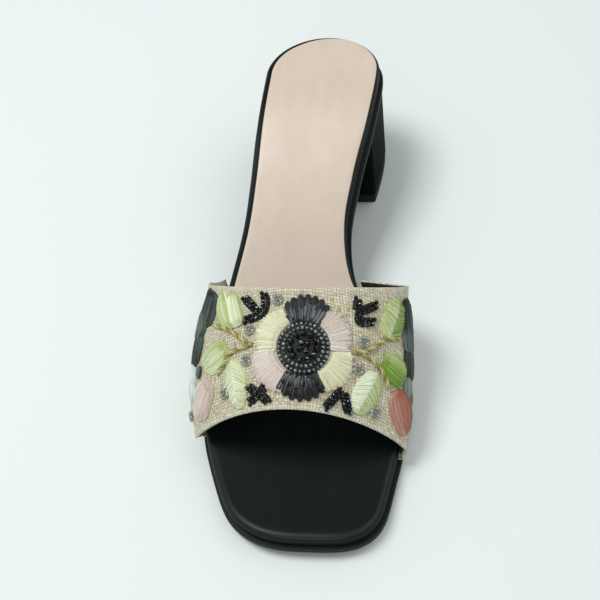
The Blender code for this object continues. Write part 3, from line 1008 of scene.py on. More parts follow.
@dataclass
class SoleUnit:
    """Outsole with its edge, the padded footbed on it and the sock on its rear."""

    last: Last
    margin: float = 6.0
    band_wall: float = 2.2
    step_clear: float = 0.6
    under_bevel: float = 0.25
    toe_roll: float = 4.6
    toe_roll_height: float = 3.0
    rear_roll: float = 2.2
    rear_roll_height: float = 1.6
    roll_from: float = 60.0
    roll_over: float = 50.0
    roll_power: float = 0.8
    rub_at: float = 0.8
    rub_width: float = 0.3
    toe_crown: float = 0.5
    crown_clear: float = 2.0
    crown_over: float = 30.0
    crown_fade: float = 0.3
    outsole_rows: int = 5
    roll_rows: int = 12
    under_rows: int = 6
    top_rows: int = 8
    sock_from: float = 80.0
    sock_corner: float = 8.0
    sock_spine_from: float = 112.0
    sock_thick: float = 0.6
    sock_lift: float = 0.02
    sock_margin_lateral: float = 2.9
    sock_margin_medial: float = 1.3
    sock_smooth: int = 8
    sock_under_rows: int = 3
    sock_top_rows: int = 14
    sock_fade: float = 0.3
    sock_wave: float = 0.1
    wave_width: float = 12.0
    wave_turn: float = 2.1
    wave_length: float = 41.0
    sock_edge: tuple[EdgeStep, ...] = table(
        EdgeStep, (0.1, 0.0), (0.0, 0.15), (0.0, 0.5), (0.12, 0.85), (0.4, 1.0)
    )
    edge: tuple[EdgeStep, ...] = table(
        EdgeStep,
        (0.9, 0.0), (0.35, 0.12), (0.05, 0.6), (0.0, 1.0), (0.0, 1.75), (0.1, 1.9), (0.35, 2.0),
        (0.35, 2.2), (0.1, 2.3), (0.0, 2.45), (0.0, 3.2), (0.08, 3.6), (0.35, 3.88), (0.8, 4.0),
    )

    def build(self, maker: Maker, band_ends: Ends) -> None:
        """Add the three pieces.

        Args:
            maker: adds pieces.
            band_ends: stations of the band's corners: lateral front and rear, medial front and rear.
        """
        maker.add("rubber_outsole", [skin(self.outsole())], Look.SOLE, "rubber", "outsole")
        bed = skin(self.footbed(band_ends), tint=self.rubbed())
        maker.add("leather_footbed", [bed], Look.FOOTBED, "black_leather", "footbed")
        maker.add("nude_sock", [skin(self.sock())], Look.SOCK, "nude_leather", "insole_sock")

    def outsole(self) -> Array:
        """A plate under the whole foot: its edge is two thin layers with a fine groove between them.

        Returns:
            Rings of points.
        """
        rows = face_rows(self.edge[0].inset, 0.0, self.outsole_rows, False)
        rows += [RingRow(step.inset, 0.0, step.rise) for step in self.edge[1:-1]]
        rows += face_rows(self.edge[-1].inset, self.last.outsole_thick, self.outsole_rows, True)
        return self.last.plate(self.last.whole(), rows)

    def footbed(self, band_ends: Ends) -> Array:
        """A padded plate: its edge turns over a quarter of a superellipse, wide at the toe and narrow behind.

        Args:
            band_ends: stations of the band's corners, where a step under the edge takes its margin.

        Returns:
            Rings of points.
        """
        last = self.last
        clear = self.step_clear
        half_way = 1.5 * clear
        ends = [end + way * clear * k for end, way in zip(band_ends, (-1, 1, -1, 1)) for k in (1, 2)]
        outline = last.whole(tuple(ends))
        inside = [
            (outline.y > front - half_way) & (outline.y < rear + half_way)
            for front, rear in (band_ends[:2], band_ends[2:])
        ]
        step = np.where(np.concatenate([inside[0], inside[1][-2:0:-1]]), self.band_wall + last.gap, 0.0)
        low, high = last.footbed_low, last.footbed_high
        station = np.concatenate([outline.y, outline.y[-2:0:-1]])
        behind = ease((station - self.roll_from) / self.roll_over)
        roll = self.toe_roll + (self.rear_roll - self.toe_roll) * behind
        tall = self.toe_roll_height + (self.rear_roll_height - self.toe_roll_height) * behind
        turn_in = last.ledge + self.margin + last.gap
        rows = face_rows(turn_in + 2 * last.gap, low, self.under_rows - 3, False)
        rows.append(RingRow(turn_in, 0.0, low + step))
        rows.append(RingRow(last.ledge + self.under_bevel, 0.0, low + step))
        rows.append(RingRow(last.ledge, 0.0, low + step + self.under_bevel))
        for turn in np.linspace(0, math.pi / 2, self.roll_rows):
            inset = last.ledge + roll * (1 - math.cos(turn) ** self.roll_power)
            rows.append(RingRow(inset, 0.0, high - tall * (1 - math.sin(turn) ** self.roll_power)))
        rows += face_rows(last.ledge + roll, high, self.top_rows + 1, True)[1:]
        rings = last.plate(outline, rows)
        toe = ease((self.sock_from - self.crown_clear - rings[..., 1]) / self.crown_over)
        over = rings[..., 2] - last.tread(rings[..., 1]) - high + self.crown_fade
        over = np.clip(over, 0, self.crown_fade) / self.crown_fade
        share = np.array([row.share for row in rows])[:, None]
        rings[..., 2] += self.toe_crown * toe * over * np.sin(share * math.pi / 2)
        return rings

    def rubbed(self) -> Array:
        """Tint of the footbed's loops: a bell curve over the turn of its rolled edge, nothing elsewhere.

        Returns:
            A tint for each loop.
        """
        turn = np.linspace(0, math.pi / 2, self.roll_rows)
        edge = np.exp(-(((turn - self.rub_at) / self.rub_width) ** 2))
        return np.concatenate([np.zeros(self.under_rows), edge, np.zeros(self.top_rows)])[:, None]

    def sock(self) -> Array:
        """A thin plate on the rear of the footbed with faint long waves across it.

        A wave is a sine along a slant, times a slow cosine across, on the top face alone.

        Returns:
            Rings of points.
        """
        last = self.last
        outline = last.rear(self.sock_from, self.sock_corner, self.sock_spine_from)
        low = last.footbed_high + self.sock_lift
        half = len(outline.y)
        spread = np.where(np.arange(2 * half - 2) < half, self.sock_margin_lateral, self.sock_margin_medial)
        window = np.ones(2 * self.sock_smooth + 1) / (2 * self.sock_smooth + 1)
        inset = last.ledge + np.convolve(np.pad(spread, self.sock_smooth, "edge"), window, "valid")
        foot, *sides, top = self.sock_edge
        rows = face_rows(inset + foot.inset, low, self.sock_under_rows, False)
        rows += [RingRow(inset + step.inset, 0.0, low + step.rise * self.sock_thick) for step in sides]
        rows += face_rows(inset + top.inset, low + self.sock_thick, self.sock_top_rows, True)
        rings = last.plate(outline, rows)
        over = rings[..., 2] - last.tread(rings[..., 1]) - low - 0.5 * self.sock_thick
        span = (rings[..., 0] - last.centre(rings[..., 1])) / self.wave_width
        slant = self.wave_turn * span + rings[..., 1] / self.wave_length
        rings[..., 2] += self.sock_wave * ease(over / self.sock_fade) * np.sin(slant) * np.cos(span / 2)
        return rings


@dataclass
class Heel:
    """Covered block heel and the top piece that it stands on."""

    last: Last
    breast_at: float = 189.0
    corner: float = 2.0
    inset: float = 0.8
    flare: float = 1.03
    back_lean: float = 5.0
    spine_from: float = 207.0
    piece_thick: float = 6.0
    piece_inset: float = 0.4
    edge: float = 0.6
    bevel_in: float = 0.2
    bevel_up: float = 0.15
    wall_rows: int = 9
    face_shares: tuple[float, ...] = (1.0, 0.5, 0.0)
    seat_shares: tuple[float, ...] = (0.0, 0.25, 0.6, 1.0)

    def build(self, maker: Maker) -> None:
        """Add the block and its top piece."""
        maker.add("covered_heel", [skin(self.block())], Look.HEEL, "black_leather", "heel_block")
        maker.add("heel_lift", [skin(self.top_piece())], Look.SOLE, "rubber", "heel_top_piece")

    def ring(self, inset: float, share: float, level: float, height: float | None) -> Array:
        """One loop of the heel: the sole's rear, flared and leant by its level from floor to seat.

        Args:
            inset: distance in from the sole's edge.
            share: drawn to the middle line by this share.
            level: 0 on the floor, 1 at the seat.
            height: height of a level loop, or None to follow the seat.

        Returns:
            Points of the loop.
        """
        last = self.last
        outline = last.rear(self.breast_at, self.corner, self.spine_from)
        loop = last.loop(outline, inset)
        middle = last.centre(loop[:, 1])
        x = middle + (1 + (self.flare - 1) * (1 - level)) * (loop[:, 0] - middle)
        lean = 1 - (1 - level) * self.back_lean / (last.length - self.breast_at)
        y = self.breast_at + lean * (loop[:, 1] - self.breast_at)
        loop = last.drawn_in(np.stack([x, y], axis=1), outline, share)
        seat = last.tread(loop[:, 1]) - last.gap
        return np.column_stack([loop, seat if height is None else np.full_like(seat, height)])

    def block(self) -> Array:
        """The block: straight walls that flare to the floor, with turned edges.

        Returns:
            Rings of points.
        """
        low = self.piece_thick + self.last.gap
        level = low / self.last.seat_height
        rings = [self.ring(self.inset + self.edge, share, level, low) for share in self.face_shares]
        rings.append(self.ring(self.inset + self.bevel_in, 0.0, level, low + self.bevel_up))
        rings.append(self.ring(self.inset, 0.0, level, low + self.edge))
        foot = rings[-1]
        seat = self.ring(self.inset, 0.0, 1.0, None)
        rings += [foot + (seat - foot) * share for share in np.linspace(0, 1, self.wall_rows)[1:-1]]
        rings += [self.ring(self.inset, share, 1.0, None) for share in self.seat_shares]
        return closed(np.stack(rings))

    def top_piece(self) -> Array:
        """A flat plate under the block with rounded edges.

        Returns:
            Rings of points.
        """
        inset = self.inset + self.piece_inset
        bevel = inset + self.bevel_in
        high = self.piece_thick
        rings = [self.ring(inset + self.edge, share, 0.0, 0.0) for share in self.face_shares]
        rings += [self.ring(bevel, 0.0, 0.0, self.bevel_up), self.ring(inset, 0.0, 0.0, self.edge)]
        rings.append(self.ring(inset, 0.0, 0.0, high - self.edge))
        rings.append(self.ring(bevel, 0.0, 0.0, high - self.bevel_up))
        rings += [self.ring(inset + self.edge, share, 0.0, high) for share in self.face_shares[::-1]]
        return closed(np.stack(rings))


# Band


class BandSection(NamedTuple):
    """One section of the band, from its front edge at share 0 to its rear edge at share 1."""

    share: float
    y_lateral: float
    y_top: float
    y_medial: float
    top_x: float
    top_z: float
    rise_lateral: float
    rise_medial: float
    bulge_lateral: float
    bulge_medial: float
    crown: float


class Crease(NamedTuple):
    """A soft trough, or a ridge where its depth is negative, between two places on the band."""

    across: float
    along: float
    to_across: float
    to_along: float
    width: float
    depth: float


class Place(NamedTuple):
    """A place on the band and a heading there: 0 points to the big-toe side, 90 to the heel."""

    across: float
    along: float
    heading: float = 0.0


@dataclass(frozen=True)
class Band:
    """The wide band over the forefoot: a padded cloth wall with turned edges, and its lining."""

    last: Last
    wall: float = 2.2
    front_thick: float = 0.9
    rear_thick: float = 0.35
    thin_over: float = 4.0
    fold_depth: float = 7.0
    fold_from: float = -0.2
    fold_over: float = 0.2
    lining_thick: float = 0.3
    lining_gap: float = 0.03
    lining_reach: float = 0.985
    front_tuck: float = 0.1
    rear_tuck: float = 0.2
    wall_gap: float = 0.4
    drop: float = 1.0
    margin: float = 6.0
    turn_radius: float = 2.4
    shoulder: float = 0.62
    sweep_power: float = 1.8
    hem_width: float = 2.0
    hem_height: float = 0.25
    hem_tint: float = 2.2
    trough_at: float = 4.4
    trough_width: float = 1.5
    trough_share: float = 0.8
    crease_fade: float = 0.6
    across_count: int = 161
    along_count: int = 71
    lining_across: int = 121
    lining_along: int = 61
    down_points: int = 5
    turn_points: int = 7
    inward_points: int = 4
    edge_points: int = 9
    mm_across: float = 105.0
    mm_along: float = 58.0
    sections: tuple[BandSection, ...] = (
        BandSection(0.0, 50.0, 43.5, 41.1, -3.0, 44.5, 2.0, 2.0, 0.6, 0.6, 1.15),
        BandSection(0.5, 85.5, 68.0, 80.5, -1.5, 54.0, 11.0, 12.0, 2.0, 3.4, 1.65),
        BandSection(1.0, 122.5, 90.5, 122.0, -2.0, 61.0, 23.0, 20.5, 0.5, 22.5, 2.0),
    )
    creases: tuple[Crease, ...] = table(
        Crease,
        (-1.0, 0.3, -0.74, 0.36, 3.2, 0.4), (-1.0, 0.42, -0.76, 0.46, 2.6, -0.25),
        (-1.0, 0.62, -0.7, 0.56, 3.6, 0.4), (-1.0, 0.86, -0.66, 0.78, 3.0, 0.3),
        (1.0, 0.26, 0.74, 0.34, 3.2, 0.4), (1.0, 0.48, 0.78, 0.5, 2.8, -0.25),
        (1.0, 0.66, 0.72, 0.6, 3.4, 0.4), (1.0, 0.88, 0.68, 0.8, 3.0, 0.35),
        (-0.36, 0.94, -0.38, 0.6, 2.6, 0.25), (0.33, 0.95, 0.3, 0.66, 2.6, 0.25),
        (-0.3, 0.06, -0.22, 0.2, 2.4, 0.2), (0.36, 0.05, 0.33, 0.2, 2.4, 0.2),
    )

    def column(self, name: str, along: Array) -> Array:
        """One column of the table of sections, as a smooth curve along the band."""
        knots = np.array([section.share for section in self.sections])
        return hermite(knots, np.array([getattr(section, name) for section in self.sections]), along)

    @property
    def ends(self) -> Ends:
        """Stations of the corners: lateral front and rear, medial front and rear."""
        front, rear = self.sections[0], self.sections[-1]
        return front.y_lateral, rear.y_lateral, front.y_medial, rear.y_medial

    def face(self, across: Array, along: Array) -> Array:
        """Outer face without creases: an arch from shoulder to shoulder and a wall down to the sole.

        The arch is a quarter wave in x and a power of one in z; the wall falls straight while it draws
        in by the square of the way down; y sweeps back from the top by a power of the reach.

        Args:
            across: -1 at the little-toe side to 1 at the big-toe side.
            along: 0 at the front edge to 1 at the rear edge.

        Returns:
            Points in millimetres.
        """
        across, along = np.broadcast_arrays(across, along)
        lateral = across < 0
        side = np.where(lateral, -1.0, 1.0)
        reach = np.abs(across)
        station, rise, bulge = (
            np.where(lateral, self.column(f"{name}_lateral", along), self.column(f"{name}_medial", along))
            for name in ("y", "rise", "bulge")
        )
        top_x, top_z, y_top = (self.column(name, along) for name in ("top_x", "top_z", "y_top"))
        base_x, base_y = self.last.beside(side, station, self.wall_gap + self.wall)
        base_z = self.last.tread(base_y) + self.last.footbed_high - self.drop
        wide_x = base_x + side * bulge
        wide_z = base_z + rise
        turn = np.clip(reach / self.shoulder, 0, 1) * math.pi / 2
        down = np.clip((reach - self.shoulder) / (1 - self.shoulder), 0, 1)
        arch = np.clip(np.cos(turn), 0, 1) ** (2 / self.column("crown", along))
        x = top_x + (wide_x - top_x) * np.sin(turn) + (base_x - wide_x) * down**2
        y = y_top + (base_y - y_top) * reach**self.sweep_power
        z = wide_z + (top_z - wide_z) * arch + (base_z - wide_z) * down
        return np.stack([x, y, z], axis=-1)

    def slopes(self, across: Array, along: Array) -> Triple:
        """Slopes of the face along its two parameters, and its outward normal; held at the edges.

        Args:
            across: place across the band.
            along: place along the band.

        Returns:
            The slope across, the slope along and the unit normal.
        """
        step = 0.001
        along = np.clip(along, step, 1 - step)
        slope_across = (self.face(across + step, along) - self.face(across - step, along)) / (2 * step)
        slope_along = (self.face(across, along + step) - self.face(across, along - step)) / (2 * step)
        return slope_across, slope_along, unit(np.cross(slope_across, slope_along))

    def relief(self, across: Array, along: Array) -> Array:
        """Height of the cloth over the plain face: rolled hems, a trough inside each, and the creases.

        A crease is a bell curve of the distance to its line, in millimetres over the opened-out band.

        Args:
            across: place across the band.
            along: place along the band.

        Returns:
            Heights in millimetres.
        """
        across, along = np.broadcast_arrays(across, along)
        edge = np.minimum(along, 1 - along) * self.mm_along
        height = self.hem_height * np.exp(-((edge / self.hem_width) ** 2))
        trough = np.exp(-(((edge - self.trough_at) / self.trough_width) ** 2))
        height = height - self.trough_share * self.hem_height * trough
        here = np.stack([across * self.mm_across, along * self.mm_along], axis=-1)
        for crease in self.creases:
            start = np.array((crease.across * self.mm_across, crease.along * self.mm_along))
            way = np.array((crease.to_across * self.mm_across, crease.to_along * self.mm_along)) - start
            share = np.clip((here - start) @ way / (way @ way), 0, 1)
            away = np.linalg.norm(here - start - share[..., None] * way, axis=-1)
            bell = crease.depth * np.exp(-((away / crease.width) ** 2))
            height = height - bell * (1 - self.crease_fade * share)
        return height

    def lifted(self, across: Array, along: Array, lift: Array | float) -> Array:
        """A point over the creased cloth, square to the band."""
        height = self.relief(across, along) + lift
        return self.face(across, along) + height[..., None] * self.slopes(across, along)[2]

    def axes(self, across: Array, along: Array, heading: Array) -> Triple:
        """Unit directions on the band.

        Args:
            across: place across the band.
            along: place along the band.
            heading: heading there, in degrees.

        Returns:
            The ways ahead, to the left and out of the band.
        """
        slope_across, _, normal = self.slopes(across, along)
        right = unit(slope_across)
        turn = np.radians(heading)[..., None]
        ahead = np.cos(turn) * right + np.sin(turn) * np.cross(normal, right)
        return ahead, np.cross(normal, ahead), normal

    def spread(self, place: Place, forward: Array, sideways: Array) -> tuple[Array, Array]:
        """Places a number of millimetres ahead of a place and to its left.

        Args:
            place: the place and its heading.
            forward: distances ahead.
            sideways: distances to the left.

        Returns:
            Across and along of each.
        """
        spot = tuple(np.array(value) for value in place)
        ahead, left, _ = self.axes(*spot)
        offset = np.asarray(forward)[..., None] * ahead + np.asarray(sideways)[..., None] * left
        steps = offset @ np.linalg.pinv(np.stack(self.slopes(*spot[:2])[:2], axis=1)).T
        return place.across + steps[..., 0], place.along + steps[..., 1]

    def moved(self, place: Place, forward: float, sideways: float, turn: float = 0.0) -> Place:
        """The place a little ahead and to the left, turned by some degrees."""
        across, along = self.spread(place, np.array(forward), np.array(sideways))
        return Place(float(across), float(along), place.heading + turn)

    def margin_points(self, side: float, along: Array) -> Array:
        """The band below its base: straight down, round a quarter circle, and in under the footbed.

        Args:
            side: -1 for the little-toe side, 1 for the big-toe side.
            along: places along the band.

        Returns:
            Rows from the base to the end of the margin, a column for each place.
        """
        station = self.column("y_lateral" if side < 0 else "y_medial", along)
        full = self.wall_gap + self.wall
        fall = self.last.footbed_thick - self.drop
        turn = np.linspace(0, math.pi / 2, self.turn_points)
        down = np.linspace(fall, self.turn_radius, self.down_points)[1:-1]
        inwards = np.linspace(self.turn_radius, self.margin, self.inward_points)[1:]
        bend = full - self.turn_radius * (1 - np.cos(turn))
        out = np.concatenate([np.full_like(down, full), bend, full - inwards])
        up = np.concatenate([down, self.turn_radius * (1 - np.sin(turn)), np.zeros_like(inwards)])
        x, y = self.last.beside(side, station[None, :], out[:, None])
        low = self.last.tread(y) + self.last.outsole_thick + self.last.gap
        return np.stack([x, y, low + up[:, None]], axis=-1)

    def wrapped(self, points: Array, outer: Array, depth: Array, sink: Array | float = 0.0) -> Array:
        """Rings round a wall: its outer face, a half circle over the rear edge, its back, and the front edge.

        Args:
            points: the plain face, a row for each ring and a column along it.
            outer: height of the outer face over the plain face.
            depth: thickness of the wall.
            sink: how far the outer face lies under the plain face.

        Returns:
            One closed ring for each row.
        """
        slope_along = unit(np.gradient(points, axis=1))
        normal = unit(np.cross(np.gradient(points, axis=0), slope_along))
        face = points + (outer - sink)[..., None] * normal
        back = points - (sink + depth)[..., None] * normal
        turn = np.linspace(0, math.pi, self.edge_points)[1:-1, None]
        edges = []
        for end, way in ((-1, 1.0), (0, -1.0)):
            top, low = face[:, end, None], back[:, end, None]
            middle, radius = (top + low) / 2, np.linalg.norm(top - low, axis=-1, keepdims=True) / 2
            out = way * slope_along[:, end, None]
            edges.append(middle + (top - middle) * np.cos(turn) + out * radius * np.sin(turn))
        return closed(np.concatenate([face, edges[0], back[:, ::-1], edges[1][:, ::-1]], axis=1))

    def build(self, maker: Maker) -> None:
        """Add the cloth and its lining."""
        maker.add("cloth_band", [self.cloth()], Look.CLOTH, "woven_cloth", "upper_band")
        maker.add("band_lining", [skin(capped(self.lining()))], Look.LINING, "black_leather")

    def cloth(self) -> Skin:
        """The padded cloth wall, from the end of one lasted margin over the top to the other.

        Returns:
            Its skin, whose map follows the yarns and whose tint is the hem.
        """
        front, rear = self.front_thick / 2 / self.mm_along, self.rear_thick / 2 / self.mm_along
        along = np.linspace(front, 1 - rear, self.along_count)
        across = np.linspace(-1, 1, self.across_count)
        arch = self.face(across[:, None], along[None, :])
        lateral = self.margin_points(-1.0, along)[::-1]
        medial = self.margin_points(1.0, along)
        sheet = np.concatenate([lateral, arch, medial])
        fade = np.concatenate([np.zeros(len(lateral)), np.ones(len(across)), np.zeros(len(medial))])
        spots = np.concatenate([np.full(len(lateral), -1.0), across, np.full(len(medial), 1.0)])
        height = self.relief(spots[:, None], along[None, :]) * fade[:, None]
        rings = self.wrapped(sheet, height, self.thickness(along))
        way_across = travelled(rings[:, self.along_count // 2])[:, None]
        flat = np.stack(np.broadcast_arrays(way_across, travelled(rings)), axis=-1)
        hem = np.ones(rings.shape[1])
        edge = np.minimum(along, 1 - along) * self.mm_along
        hem[: self.along_count] = np.exp(-((edge / self.hem_tint) ** 2))
        return skin(capped(rings), doubled(flat), doubled(np.broadcast_to(hem, rings.shape[:2])))

    def lining(self) -> Array:
        """A leather sheet inside the wall, up to its edges but for a fold on the little-toe side.

        Returns:
            Rings of points.
        """
        across = np.linspace(-self.lining_reach, self.lining_reach, self.lining_across)[:, None]
        fold = self.fold_depth * ease((self.fold_from - across) / self.fold_over)
        front = (self.wall + self.lining_thick - self.front_thick) / 2 - self.front_tuck
        rear = (self.wall + self.lining_thick - self.rear_thick) / 2 - self.rear_tuck + fold
        share = np.linspace(0, 1, self.lining_along)
        along = (front + (self.mm_along - front - rear) * share) / self.mm_along
        sheet = self.face(across, along)
        sink = self.thickness(along) + self.lining_gap
        return self.wrapped(sheet, np.zeros(sheet.shape[:2]), self.wall + self.lining_thick - sink, sink)

    def thickness(self, along: Array) -> Array:
        """Thickness of the cloth: the whole wall, and less over a short way to each edge.

        Args:
            along: places along the band.

        Returns:
            The thickness at each.
        """
        front = (self.wall - self.front_thick) * (1 - ease(along * self.mm_along / self.thin_over))
        rear = (self.wall - self.rear_thick) * (1 - ease((1 - along) * self.mm_along / self.thin_over))
        return self.wall - front - rear


# Embroidery


class Form(Enum):
    """How the stitches of a bed lie."""

    LONG = "side by side along a drop"
    FAN = "spread about a pivot"
    FEATHER = "slanting from a midrib to the edge of a drop"


class Tinting(NamedTuple):
    """Tint of a bed of stitches: at its middle, and what is added to the left, to the tip and at its ends."""

    middle: float
    left: float = 0.0
    tip: float = 0.0
    ends: float = 0.0

    def at(self, s: Array, t: Array) -> Array:
        """Tint at s along, from 0 to 1, and t across, from -1 to 1."""
        return self.middle + self.left * t + self.tip * (2 * s - 1) + self.ends * (2 * s - 1) ** 2


@dataclass(frozen=True)
class SatinBed:
    """Satin stitches laid over a pad in the shape of a drop or a fan."""

    place: Place
    length: float
    width: float
    relief: float
    strands: int
    tinting: Tinting
    roundness: float = 2.0
    form: Form = Form.LONG
    slant: float = 0.3
    pivot: float = 0.0
    narrowing: float = 0.0
    dome: float = 0.0
    tufts: int = 0
    scallop: float = 0.0
    groove: float = 0.0
    ragged: float = 0.8
    variety: float = 0.46
    lift: float = 0.04
    seed: int = 1
    rows: int = 9
    spread: float = 0.98
    flatness: float = 0.65
    girth: float = 0.76
    least_girth: float = 0.14
    feather_girth: float = 0.8
    overshoot: float = 0.4
    short_start: float = 0.15
    short_stop: float = 0.3
    laid_over: float = 0.08
    uneven: float = 0.08
    rib_share: float = 0.92
    rib_overlap: float = 0.6
    rib_bow: float = 0.9
    rib_fall: float = 0.7
    rib_light: float = 0.1
    rib_shade: float = 0.25
    least_reach: float = 0.5
    drop_power: float = 2.6
    fan_end_power: float = 8.0
    fan_side_power: float = 12.0
    pad_rows: int = 21
    pad_columns: int = 49
    pad_margin: float = 0.4
    pad_share: float = 0.9
    pad_shade: float = 0.12

    def leaf(self, share: Array) -> Array:
        """Half width of a drop at each share of its length: a superellipse that is 1 in the middle."""
        return np.clip(1 - np.abs(2 * share - 1) ** self.roundness, 0, 1) ** (1 / self.roundness)

    def layout(self, s: Array, t: Array, start: Array | float, stop: Array | float) -> Triple:
        """Millimetres ahead and to the left, and the share of the full height, along lines of a drop or fan.

        A drop's lines keep their share of its half width. A fan turns each line about a pivot behind its
        middle; each of its tufts ends in a half circle, with a groove beside it, and its rim is domed.

        Args:
            s: place along each line, from 0 to 1.
            t: place across, from -1 to 1.
            start: what each line leaves off at its start.
            stop: what each line leaves off at its tip.

        Returns:
            Distance ahead, distance to the left and height, for each point.
        """
        if self.form is Form.FAN:
            tuft = 2 * ((t + 1) / 2 * self.tufts % 1) - 1
            rim = self.scallop * (swell(tuft, 2.0) - 1) - self.dome * t**2
            radius = self.pivot - self.length / 2 + start + (self.length + rim - start - stop) * s
            angle = t * self.width / (2 * self.pivot) * (1 + self.narrowing * (0.5 - s))
            height = swell(2 * s - 1, self.fan_end_power) * swell(t, self.fan_side_power)
            height = height * (1 - self.groove * tuft**4)
            return radius * np.cos(angle) - self.pivot, radius * np.sin(angle), height
        ahead = (start + (self.length - start - stop) * s) / self.length
        half = self.leaf(ahead)
        forward, sideways = np.broadcast_arrays(self.length * (ahead - 0.5), t * self.width / 2 * half)
        return forward, sideways, swell(t, self.drop_power) * np.sqrt(half)

    def feathered(self, s: Array, t: Array, stop: Array) -> Triple:
        """The same for stitches that slant from the midrib of a drop to its edge, by turns of side.

        A stitch starts at its share of the midrib and ends on the edge, nearer to the tip by the slant.

        Args:
            s: place along each stitch, from 0 at the midrib to 1 at the edge.
            t: share of the midrib, negative on the right.
            stop: what each stitch leaves off at the edge.

        Returns:
            Distance ahead, distance to the left and height, for each point.
        """
        foot = self.rib_share * np.abs(t)
        tip = foot + self.slant * (1 - foot)
        reach = np.maximum(self.width / 2 * self.leaf(tip) - stop, self.least_reach)
        forward = self.length * (foot + (tip - foot) * s - 0.5)
        sideways = np.sign(t) * ((reach + self.rib_overlap) * s**self.rib_bow - self.rib_overlap)
        return forward, sideways, (1 - self.rib_fall * s**2) * np.sqrt(self.leaf(0.06 + 0.9 * foot))

    def pad(self, band: Band) -> Skin:
        """The padding under the stitches, as rings over its width, closed underneath.

        Args:
            band: the band that it lies on.

        Returns:
            Its skin.
        """
        t = np.linspace(-1, 1, self.pad_columns)[None, :]
        s = (1 - np.cos(np.linspace(0, math.pi, self.pad_rows)))[:, None] / 2
        forward, sideways, height = self.layout(s, t, self.pad_margin, self.pad_margin)
        here = band.spread(self.place, forward, sideways)
        points = closed(band.lifted(*here, self.pad_share * self.relief * height + self.lift))
        flat = np.stack(np.broadcast_arrays(t * self.width / 2, s * self.length), axis=-1)
        tint = np.broadcast_to(self.tinting.at(s, t) - self.pad_shade, flat.shape[:2])
        return skin(capped(points), doubled(closed(flat)), doubled(closed(tint)))

    def threads(self, band: Band) -> Skin:
        """The stitches: uneven in length, every third one shorter and laid over its neighbours.

        Args:
            band: the band that they lie on.

        Returns:
            A skin with a grid for each stitch.
        """
        chance = np.random.default_rng(self.seed).random((4, self.strands, 1))
        t = np.linspace(-self.spread, self.spread, self.strands)[:, None]
        s = np.linspace(0, 1, self.rows)[None, :]
        short = np.arange(self.strands)[:, None] % 3 == 1
        stop = self.ragged * (chance[1] - self.overshoot)
        if self.form is Form.FEATHER:
            forward, sideways, height = self.feathered(s, t, stop)
            radius = np.full(forward.shape, self.feather_girth * self.length / self.strands)
            tint = self.tinting.at(np.abs(t), np.sign(t)) + self.rib_light - self.rib_shade * s
        else:
            start = self.ragged * chance[0] + self.short_start * self.length * short * chance[2]
            stop = stop + self.short_stop * self.length * short * chance[2]
            forward, sideways, height = self.layout(s, t, start, stop)
            radius = np.maximum(self.girth * np.abs(np.gradient(sideways, axis=0)), self.least_girth)
            tint = self.tinting.at(s, t)
        across, along = band.spread(self.place, forward, sideways)
        lift = self.lift + self.relief * height + self.laid_over * short + self.uneven * chance[3]
        middle = band.lifted(across, along, lift)
        tint = tint + self.variety * (chance[3] - 0.5)
        return tubes(middle, band.slopes(across, along)[2], radius, tint, self.flatness)

    def skins(self, band: Band) -> list[Skin]:
        """The pad and the stitches over it."""
        return [self.pad(band), self.threads(band)]


class Lobe(NamedTuple):
    """One bed of stitches of a motif, in its node's own directions."""

    forward: float
    sideways: float
    turn: float
    length: float
    width: float
    relief: float
    roundness: float
    strands: int
    tinting: Tinting
    form: Form = Form.LONG


class Motif(NamedTuple):
    """A raised motif: the node it stands for, its place, its finish, its slot and its lobes."""

    node: str
    place: Place
    look: Look
    slot: str
    lobes: tuple[Lobe, ...]


class Petal(NamedTuple):
    """A pale satin petal of the flower: its node, heading, finish, slot, tint and extra length."""

    node: str
    heading: float
    look: Look
    slot: str
    tinting: Tinting
    reach: float = 0.0


class Fan(NamedTuple):
    """A fringed black petal of the flower: its node, heading, outer radius, angle and added tint."""

    node: str
    heading: float
    end: float
    turn: float
    light: float


class BeadRing(NamedTuple):
    """One ring of beads: radius, number, size of a bead and lift over the cloth."""

    radius: float
    count: int
    size: float
    lift: float


Line = tuple[tuple[float, float], ...]


